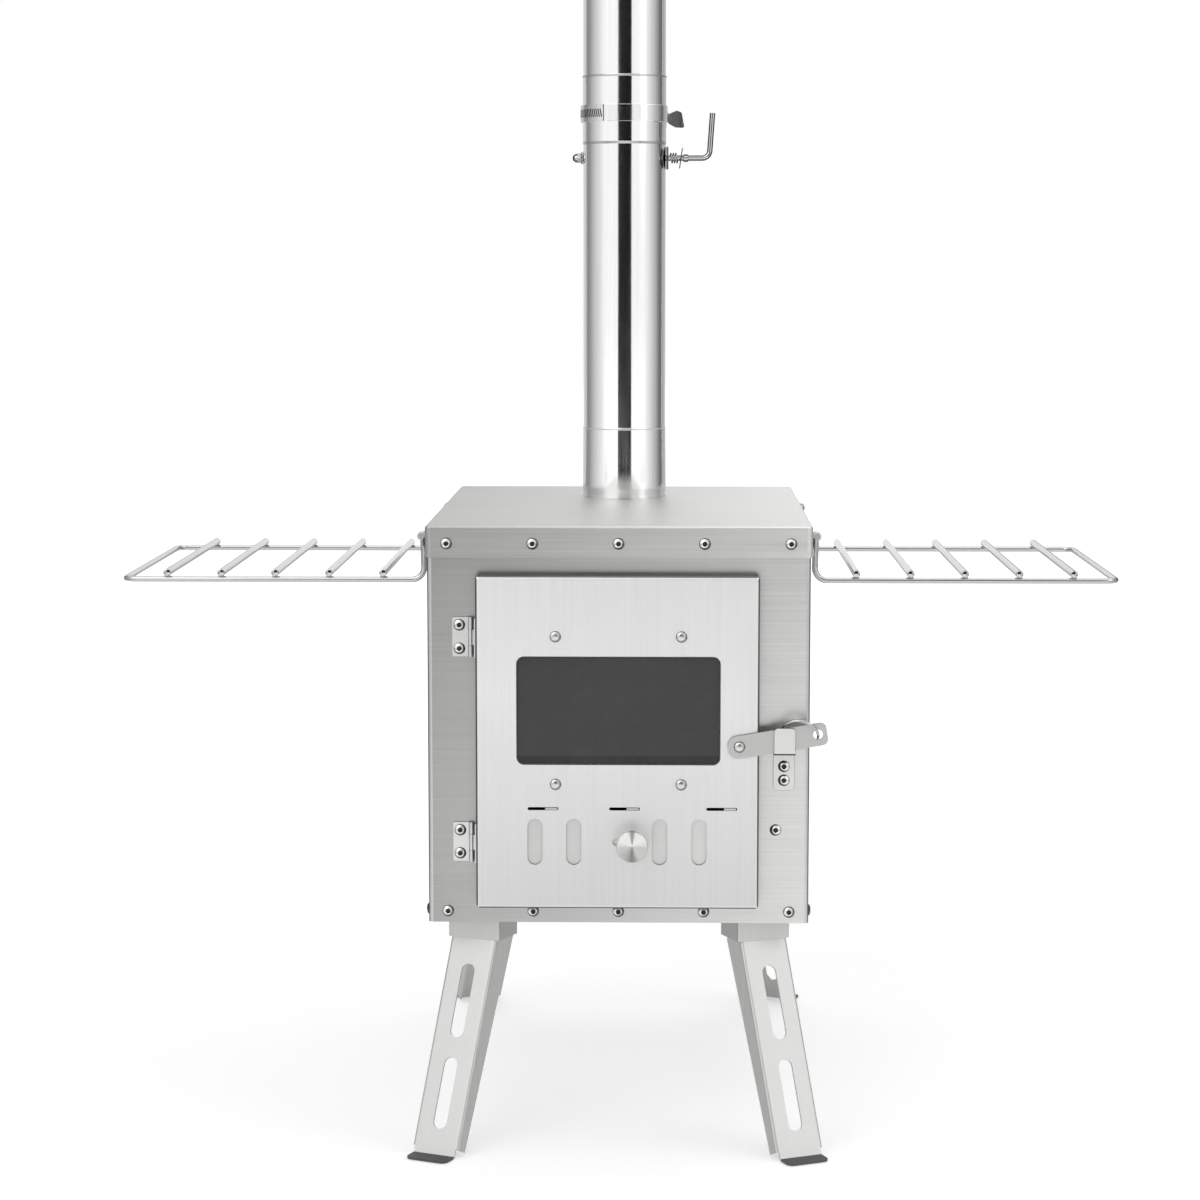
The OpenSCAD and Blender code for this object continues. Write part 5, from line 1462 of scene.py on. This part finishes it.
for name, node, inset, teeth, slotName, material in (
        ("windowGasket", "window_gasket", window["gasketShow"], window["teeth"], "gasket", gasketTape),
        ("windowRetainer", "window_retainer", window["gasketShow"], 0, "body_steel", frameSteel)):
    low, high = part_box(node)
    border = makeBlock(name, low, high)
    roundEdges(border, lambda a, b: abs(a.y - b.y) > 0.5 * mm, window["corner"], 6)
    cutOut(border, [frameCutter(node, inset, teeth)])
    softenEdges(border, window["soften"], 1, 70)
    crisp(border)
    finishPiece(border, "door", node, material)
print("window glazed")


# air plate with its slots and tabs, and the knob's screw

airSlide = {"thickness": 1.2 * mm, "travel": 10.6 * mm, "tabHeight": 1.4 * mm, "tabLength": 7.9 * mm,
            "tabGap": 0.8 * mm, "tabProud": 0.4 * mm, "corner": 1.2 * mm, "shoulder": 1.7 * mm,
            "tongueIn": 0.1 * mm}
plateBack = airHigh.y
plateTopZ = guideZ - airSlide["shoulder"]
airPlate = makeBlock("airPlate", (airLow.x, plateBack - airSlide["thickness"], airLow.z),
                     (airHigh.x, plateBack, plateTopZ))
roundEdges(airPlate, lambda a, b: abs(a.y - b.y) > 0.5 * mm, airSlide["corner"], 4)
cutters = []
for share in door["airShares"]:
    middle = (doorMiddleX + share * doorWidth + airSlide["travel"], airZ)
    cutters.append(slotCutter(middle, door["airSlot"][1], door["airSlot"][0], plateBack - 4 * mm,
                              8 * mm, True))
cutOut(airPlate, cutters)
softenEdges(airPlate, 0.12 * mm, 1, 60)
crisp(airPlate)
parts = [airPlate]
for share in door["guideShares"]:
    slotLeft = doorMiddleX + share * doorWidth - door["guideSlot"][1] / 2
    left = slotLeft + airSlide["travel"] + airSlide["tabGap"]
    tab = makeBlock("tab", (left, doorFace - airSlide["tabProud"], guideZ - airSlide["tabHeight"] / 2),
                    (left + airSlide["tabLength"], plateBack - 0.2 * mm,
                     guideZ + airSlide["tabHeight"] / 2))
    tongue = makeBlock("tongue",
                       (left, plateBack - airSlide["thickness"] + airSlide["tongueIn"], plateTopZ - 1 * mm),
                       (left + airSlide["tabLength"], plateBack - airSlide["tongueIn"], airHigh.z))
    for part in (tab, tongue):
        applyModifier(part, "BEVEL", width=0.2 * mm, segments=2)
        crisp(part)
        parts.append(part)
airPlate = joinPieces("airPlate", parts)
kinds = [1 if one.center.z > plateTopZ + 0.3 * mm and one.center.y < plateBack - airSlide["thickness"]
         else 0 for one in airPlate.data.polygons]
finishPiece(airPlate, "air_slide", "air_plate", slideSteel)
paintFaces(airPlate, kinds, [tabSteel])

screw = {"radius": 2 * mm, "head": 4 * mm, "headHeight": 2 * mm, "pitch": 0.7 * mm}
screwLow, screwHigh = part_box("knob_screw")
screwLength = screwHigh.y - screw["headHeight"] - screwLow.y
screwOutline = [(0, 0), (screw["radius"] * 0.95, 0)]
turns = int(screwLength / screw["pitch"]) - 1
for i in range(turns):
    screwOutline += [(screw["radius"] * 0.82, (i + 0.25) * screw["pitch"]),
                     (screw["radius"] * 0.97, (i + 0.75) * screw["pitch"])]
screwOutline += [(screw["radius"] * 0.7, screwLength), (0, screwLength)]
shaft = turnPiece("shaft", screwOutline,
                  placeAt((knobMiddle.x, screwHigh.y - screw["headHeight"], airZ), "-Y"), 20, 30)
hexHead = makeRod("hexHead", screw["head"], screw["headHeight"],
                  (knobMiddle.x, screwHigh.y - screw["headHeight"] / 2, airZ), "Y", 6)
applyModifier(hexHead, "BEVEL", width=0.25 * mm, segments=2)
crisp(hexHead)
finishPiece(joinPieces("knobScrew", [shaft, hexHead]), "air_slide", "knob_screw", rivetSteel)
print("air slide fitted")


# rolled eyes that carry the racks

eyeLow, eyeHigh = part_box("rack_brackets")
eyeSet = []
middleRadius = eye["radius"] - eye["wall"] / 2
for side in (-1, 1):
    for back in (False, True):
        y = eyeHigh.y - eye["length"] if back else eyeLow.y
        x = eye["rim"] + eye["strapThickness"] / 2
        spots = [Vector((side * x, y, eye["z"] - down)) for down in (eye["strap"], eye["bendBelow"])]
        for i in range(eye["steps"]):
            turn = math.radians(180 - eye["stepTurn"] * i)
            spots.append(Vector((side * (eye["x"] + middleRadius * math.cos(turn)), y,
                                 eye["z"] + middleRadius * math.sin(turn))))
        strip = drawLine("eyeStrip", spots)
        pullOut(strip, (0, eye["length"], 0))
        giveWall(strip, eye["wall"], 0)
        closeMesh(strip, weldFine)
        softenEdges(strip, eye["soften"], 1, 60)
        crisp(strip, 40)
        eyeSet.append(strip)
finishPiece(joinPieces("rackEyes", eyeSet), "firebox", "rack_brackets", fittingSteel)
print("rack eyes rolled")


# band clamp round the flue joint, with its slotted tail and screw housing

clamp = {"height": 12 * mm, "thickness": 0.6 * mm, "ring": 30.7 * mm, "edge": 0.2 * mm, "tailFrom": 28,
         "tailTo": 185, "tailSteps": 54, "pitch": 3.4, "slots": 22, "slotShare": 0.5, "slotWidth": 1 * mm,
         "slant": math.radians(14), "boxX": 3 * mm, "boxWidth": 15 * mm, "boxCorner": 3 * mm,
         "soften": 0.3 * mm, "threadPitch": 1.2 * mm, "threadEdge": 0.6 * mm,
         "screwRadius": 2.7 * mm, "neckEnd": 32 * mm, "wing": 11.5 * mm, "wingThickness": 1.6 * mm,
         "wingRoot": 6.5 * mm, "wingWide": 16.5 * mm}
bandLow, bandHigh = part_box("clamp_band")
screwLow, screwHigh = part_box("clamp_screw")
clampZ, clampScrewY = (bandLow.z + bandHigh.z) / 2, (screwLow.y + screwHigh.y) / 2
ringRadius, half, edge = clamp["ring"], clamp["height"] / 2, clamp["edge"]
ringOut = ringRadius + clamp["thickness"]
bandOutline = [(ringRadius, -half + edge), (ringRadius + edge, -half), (ringOut - edge, -half),
               (ringOut, -half + edge), (ringOut, half - edge), (ringOut - edge, half),
               (ringRadius + edge, half), (ringRadius, half - edge), (ringRadius, -half + edge)]
band = turnPiece("band", bandOutline, placeAt((flueX, flueY, clampZ)), 96, 40)
tailRadius = ringRadius + 1.5 * clamp["thickness"] + 0.05 * mm


def aroundFlue(degrees, radius, z):
    turn = math.radians(-90 - degrees)
    return Vector((flueX + radius * math.cos(turn), flueY + radius * math.sin(turn), z))


tailTurn = (clamp["tailTo"] - clamp["tailFrom"]) / clamp["tailSteps"]
tailSpots = [aroundFlue(clamp["tailFrom"] + tailTurn * i, tailRadius, clampZ - half)
             for i in range(clamp["tailSteps"] + 1)]
tail = drawLine("tail", tailSpots)
pullOut(tail, (0, 0, clamp["height"]))
giveWall(tail, clamp["thickness"], 0)
closeMesh(tail, weldFine)
wormCuts = []
for i in range(clamp["slots"]):
    degrees = clamp["tailFrom"] + (i + 1) * clamp["pitch"]
    across, along = clamp["slotWidth"] / 2, half * clamp["slotShare"]
    cut = makeBlock("cut", (-1.2 * mm, -across, -along), (1.2 * mm, across, along))
    cut.matrix_world = (Matrix.Translation(aroundFlue(degrees, tailRadius, clampZ))
                        @ Matrix.Rotation(math.radians(-90 - degrees), 4, "Z")
                        @ Matrix.Rotation(clamp["slant"], 4, "X"))
    wormCuts.append(settle(cut, "cut"))
cutOut(tail, [joinPieces("cutter", wormCuts)])
crisp(tail, 30)
housing = makeBlock("housing",
                    (clamp["boxX"] - clamp["boxWidth"] / 2, flueY + ringRadius + 1.5 * mm, clampZ - half),
                    (clamp["boxX"] + clamp["boxWidth"] / 2, bandHigh.y, clampZ + half))
roundEdges(housing, lambda a, b: abs(a.x - b.x) > 5 * mm and min(a.y, b.y) > bandHigh.y - 0.1 * mm,
           clamp["boxCorner"], 6)
screwPlace = (clamp["boxX"], clampScrewY, clampZ)
cutOut(housing, [makeRod("cutter", clamp["screwRadius"] + 0.1 * mm, 30 * mm, screwPlace, "X")])
softenEdges(housing, clamp["soften"], 2, 50)
crisp(housing, 35)
bandClamp = joinPieces("bandClamp", [band, tail, housing])
# painted shade: the slots of the tail and the band under the tail get a dark material
kinds = []
for one in bandClamp.data.polygons:
    out = Vector((one.center.x - flueX, one.center.y - flueY))
    onTail = ringOut < out.length < tailRadius + clamp["thickness"]
    midBand = abs(one.center.z - clampZ) < half * 0.7
    inSlot = onTail and midBand and abs(out.normalized().dot(one.normal.xy)) < 0.6
    around = math.degrees(math.atan2(-out.x, -out.y)) % 360
    underTail = (not onTail and clamp["tailFrom"] + 2 < around < clamp["tailTo"] - 2
                 and ringRadius + clamp["thickness"] * 0.5 < out.length < tailRadius)
    kinds.append(1 if inSlot or underTail else 2 if onTail else 0)
finishPiece(bandClamp, "firebox", "clamp_band", bandSteel)
paintFaces(bandClamp, kinds, [edgeShade, tailSteel])

shaftLength = clamp["neckEnd"] - screwLow.x
r, pitch, edge = clamp["screwRadius"], clamp["threadPitch"], clamp["threadEdge"]
keyOutline = [(0, 0), (r * 0.8, 0)]
turns = int(shaftLength * 0.45 / pitch)
for i in range(turns):
    keyOutline += [(r * 0.84, (i + 0.25) * pitch), (r, (i + 0.75) * pitch)]
keyOutline += [(r, turns * pitch + edge), (r, shaftLength - edge), (r * 0.8, shaftLength), (0, shaftLength)]
keyShaft = turnPiece("keyShaft", keyOutline, placeAt((screwLow.x, clampScrewY, clampZ), "+X"), 24, 30)
root, wide = clamp["wingRoot"] / 2, clamp["wingWide"] / 2
long, thick = clamp["wing"], clamp["wingThickness"]
wingShape = [(-1 * mm, -root), (0, -wide * 0.62), (long * 0.42, -wide * 0.95), (long * 0.88, -wide * 0.99),
             (long * 0.97, -wide * 0.94), (long, -wide * 0.84), (long * 0.85, wide * 0.3),
             (long * 0.8, wide * 0.4), (long * 0.55, wide * 0.53), (long * 0.48, wide * 0.53),
             (0, wide * 0.24), (-1 * mm, wide * 0.22)]
wing = drawLine("wing",
                [Vector((clamp["neckEnd"] + x, clampScrewY - thick / 2, clampZ + z)) for x, z in wingShape])
selectAll(wing)
bpy.ops.mesh.edge_face_add()
bpy.ops.mesh.extrude_region_move(TRANSFORM_OT_translate={"value": (0, thick, 0)})
editOff()
closeMesh(wing, weldFine)
softenEdges(wing, clamp["soften"], 2, 50)
crisp(wing, 35)
finishPiece(joinPieces("clampKey", [keyShaft, wing]), "clamp_key", "clamp_screw", keySteel)
print("clamp fitted")


# spark screen and hat at the top of the flue, and the damper's disc

cap = {"wall": 0.5 * mm, "slots": 10, "slotWidth": 8 * mm, "slotHeight": 27.6 * mm, "screen": 46 * mm,
       "over": 16 * mm, "rise": 18 * mm, "sheet": 1 * mm, "skirt": 5 * mm, "seat": 2 * mm, "lip": 0.3 * mm,
       "lipRound": 0.2 * mm, "lipIn": 1 * mm}
screenLow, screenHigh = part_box("cap_screen")
r = pipe["radius"]
screenOutline = [(r - cap["wall"], screenLow.z), (r, screenLow.z), (r, screenHigh.z),
                 (r - cap["wall"], screenHigh.z), (r - cap["wall"], screenLow.z)]
sparkScreen = turnPiece("sparkScreen", screenOutline, placeAt((flueX, flueY, 0)), 80, 40)
screenCuts = []
slotMiddle = screenHigh.z - cap["screen"] / 2
for i in range(cap["slots"] // 2):
    cut = makeBlock("cut", (-60 * mm, -cap["slotWidth"] / 2, -cap["slotHeight"] / 2),
                    (60 * mm, cap["slotWidth"] / 2, cap["slotHeight"] / 2))
    roundEdges(cut, lambda a, b: abs(a.x - b.x) > 50 * mm, cap["slotWidth"] * 0.49, 4)
    cut.matrix_world = (Matrix.Translation((flueX, flueY, slotMiddle))
                        @ Matrix.Rotation((2 * i + 1) * math.pi / cap["slots"], 4, "Z"))
    screenCuts.append(settle(cut, "cut"))
cutOut(sparkScreen, screenCuts)
crisp(sparkScreen, 30)
finishPiece(sparkScreen, "firebox", "cap_screen", pipeSteel)

rim, base = r + cap["over"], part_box("cap_hat")[1].z - cap["rise"]
hatFoot = base - cap["skirt"]
hatRim, hatRise = hatFoot + cap["sheet"], cap["rise"] + cap["skirt"] - cap["sheet"]
hatOutline = [(r - cap["seat"], base), (r, base), (rim - cap["lipIn"], hatFoot + cap["lipRound"]),
              (rim - cap["lip"], hatFoot), (rim, hatFoot + cap["lip"]), (rim - cap["lipRound"], hatRim)]
for i in range(1, 9):
    share = i / 9
    hatOutline.append((rim * (1 - share), hatRim + hatRise * math.sin(quarterTurn * share) ** 1.15))
hatOutline += [(0, base + cap["rise"]), (0, base + cap["rise"] - cap["sheet"]),
               (r - cap["seat"], base + cap["skirt"] / 2), (r - cap["seat"], base)]
capHat = turnPiece("capHat", hatOutline, placeAt((flueX, flueY, 0)), 80, 32)
finishPiece(capHat, "firebox", "cap_hat", hatSteel)

flap = {"half": 0.5 * mm, "edge": 0.3 * mm, "sleeve": 2.8 * mm, "sleeveEdge": 0.2 * mm, "sleeveShare": 0.3}
discLow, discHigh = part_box("damper_disc")
discRadius = (discHigh.x - discLow.x) / 2
half, edge = flap["half"], flap["edge"]
discOutline = [(0, -half), (discRadius - edge, -half), (discRadius, edge - half), (discRadius, half - edge),
               (discRadius - edge, half), (0, half)]
sleeves = [turnPiece("disc", discOutline, placeAt((flueX, flueY, damperZ), "-Y"), 64, 40)]
length, bore = discRadius * flap["sleeveShare"], pipe["rodHole"]
wide, edge = flap["sleeve"], flap["sleeveEdge"]
tube = [(bore, 0), (wide - edge, 0), (wide, edge), (wide, length - edge), (wide - edge, length),
        (bore, length), (bore, 0)]
for side in (-1, 1):
    place = placeAt((side * discRadius / 2 - length / 2, flueY, damperZ), "+X")
    sleeves.append(turnPiece("sleeve", tube, place, 24, 40))
finishPiece(joinPieces("damperDisc", sleeves), "damper", "damper_disc", grateSteel)
print("cap and damper disc made")


# stage, light and camera

stageLook = {
    "floorSize": 24,
    "floorGap": 0.0004,
    "floorTone": 0.86,
    "glowNear": 0.42,
    "glowFar": 0.80,
    "glowFrom": 0.5,
    "glowTo": 2.2,
    "fillLight": 0.45,
    "darkCard": 0.02,
    "cardLift": 0.002,
    "cardHeight": 2.0,
    "aim": (0, 0, 0.35),
}


def seenStraight(nodes, links):
    # 1 for the camera and for what steel and glass show, 0 for light that bounces
    path = nodes.new("ShaderNodeLightPath")
    seen, seenToo = nodes.new("ShaderNodeMath"), nodes.new("ShaderNodeMath")
    seen.operation = seenToo.operation = "MAXIMUM"
    links.new(path.outputs["Is Camera Ray"], seen.inputs[0])
    links.new(path.outputs["Is Glossy Ray"], seen.inputs[1])
    links.new(seen.outputs[0], seenToo.inputs[0])
    links.new(path.outputs["Is Transmission Ray"], seenToo.inputs[1])
    return seenToo.outputs[0]


clearSelection()
bpy.ops.mesh.primitive_plane_add(size=stageLook["floorSize"],
                                 location=(0, 0, cadLow.z - stageLook["floorGap"]))
floor = bpy.context.object
floor.name = "floor"
floorPaint, nodes, links, shader = newMaterial("floorPaint")
shader.inputs["Base Color"].default_value = (stageLook["floorTone"],) * 3 + (1,)
shader.inputs["Roughness"].default_value = 0.95
glow = nodes.new("ShaderNodeEmission")
level = nodes.new("ShaderNodeMath")
level.operation = "MULTIPLY"
away = nodes.new("ShaderNodeVectorMath")
away.operation = "LENGTH"
links.new(objectPlace(nodes), away.inputs[0])
links.new(seenStraight(nodes, links), level.inputs[0])
links.new(addRange(nodes, links, away.outputs["Value"], stageLook["glowNear"], stageLook["glowFar"],
                   stageLook["glowFrom"], stageLook["glowTo"]), level.inputs[1])
sumShader = nodes.new("ShaderNodeAddShader")
links.new(level.outputs[0], glow.inputs["Strength"])
links.new(shader.outputs[0], sumShader.inputs[0])
links.new(glow.outputs[0], sumShader.inputs[1])
links.new(sumShader.outputs[0], nodes["Material Output"].inputs["Surface"])
floor.data.materials.append(floorPaint)

cardPaint, nodes, links, shader = newMaterial("cardPaint")
shader.inputs["Base Color"].default_value = (stageLook["darkCard"],) * 3 + (1,)
shader.inputs["Roughness"].default_value = 1.0
shader.inputs["Specular IOR Level"].default_value = 0.0


def addCard(name, middle, width, height, turn):
    # an upright black card that only reflections see
    clearSelection()
    bpy.ops.mesh.primitive_plane_add(size=1, location=middle, rotation=(quarterTurn, 0, turn))
    card = bpy.context.object
    card.name = name
    card.scale = (width, height, 1)
    card.data.materials.append(cardPaint)
    card.visible_camera = False
    card.visible_diffuse = False
    card.visible_shadow = False
    card.visible_transmission = False
    return card


def makeGlow(card, strength):
    # gives a card a light of its own, for reflections alone
    paint, nodes, links, shader = newMaterial(card.name + "Paint")
    glow = nodes.new("ShaderNodeEmission")
    if isinstance(strength, dict):
        links.new(addFade(nodes, links, **strength), glow.inputs["Strength"])
    else:
        glow.inputs["Strength"].default_value = strength
    links.new(glow.outputs[0], nodes["Material Output"].inputs["Surface"])
    card.data.materials[0] = paint


for name, middle, width, height, turn in (
        ("frontCard", (0.11, -3.2, 0.93), 2.2, 1.6, 0),
        ("leftCard", (-1.72, 1.46, 1.1), 0.30, 1.9, math.radians(129)),
        ("rightCard", (1.76, 1.46, 1.1), 0.30, 1.9, math.radians(-129))):
    addCard(name, middle, width, height, turn)


# grey sheets near the floor, so that bright tube still shows from above
for name, low, high, tone in (
        ("leftFloorCard", (-5, -4), (-0.75, 5), 0.50),
        ("rightFloorCard", (0.75, -4), (5, 5), 0.56),
        ("backFloorCard", (-0.75, 1.0), (0.75, 5), 0.50)):
    middle = ((low[0] + high[0]) / 2, (low[1] + high[1]) / 2, cadLow.z + stageLook["cardLift"])
    card = addCard(name, middle, high[0] - low[0], high[1] - low[1], 0)
    card.rotation_euler = (0, 0, 0)
    makeGlow(card, tone)

# upright sheets that glow less towards one end, for the soft greys along the pipe
for name, middle, width, turn, near, far in (
        ("leftGreyCard", (-2.1, 0.25, 1.1), 3.0, quarterTurn, 1.0, 0.28),
        ("rightGreyCard", (2.1, 0.35, 1.1), 2.9, quarterTurn, 1.0, 0.16),
        ("backLeftCard", (-1.6, 2.4, 1.1), 2.2, 0, 0.5, 0.75),
        ("backRightCard", (1.6, 2.4, 1.1), 2.2, 0, 0.6, 0.4)):
    card = addCard(name, middle, width, stageLook["cardHeight"], turn)
    makeGlow(card, {"axis": "X", "start": -0.5, "end": 0.25, "low": near, "high": far})

for name, spot, size, power in (
        ("keyLamp", (-1.5, -2.2, 2.3), 2.4, 20),
        ("rightLamp", (2.2, -1.0, 1.6), 1.8, 12),
        ("topLamp", (0.2, 0.6, 2.8), 2.2, 12)):
    lampData = bpy.data.lights.new(name, "AREA")
    lampData.energy = power
    lampData.size = size
    lamp = bpy.data.objects.new(name, lampData)
    bpy.context.scene.collection.objects.link(lamp)
    lamp.visible_camera = False
    lamp.location = spot
    lamp.rotation_euler = (Vector(stageLook["aim"]) - Vector(spot)).to_track_quat("-Z", "Y").to_euler()

world = bpy.data.worlds.new("studio")
bpy.context.scene.world = world
world.use_nodes = True
nodes, links = world.node_tree.nodes, world.node_tree.links
background = nodes["Background"]
background.inputs["Color"].default_value = (1, 1, 1, 1)
strength = addRange(nodes, links, seenStraight(nodes, links), stageLook["fillLight"], 1.0, 0.0, 1.0)
links.new(strength, background.inputs["Strength"])

view = {"lens": 90, "sensor": 36, "spot": (0.0304, -2.1148, 0.5794), "down": 0.1122, "left": 0.0219}
cameraData = bpy.data.cameras.new("camera")
cameraData.lens = view["lens"]
cameraData.sensor_width = view["sensor"]
camera = bpy.data.objects.new("camera", cameraData)
bpy.context.scene.collection.objects.link(camera)
camera.location = view["spot"]
camera.rotation_euler = (quarterTurn - view["down"], 0, view["left"])
bpy.context.scene.camera = camera
bpy.context.scene.view_settings.view_transform = "Standard"

print("stage set")
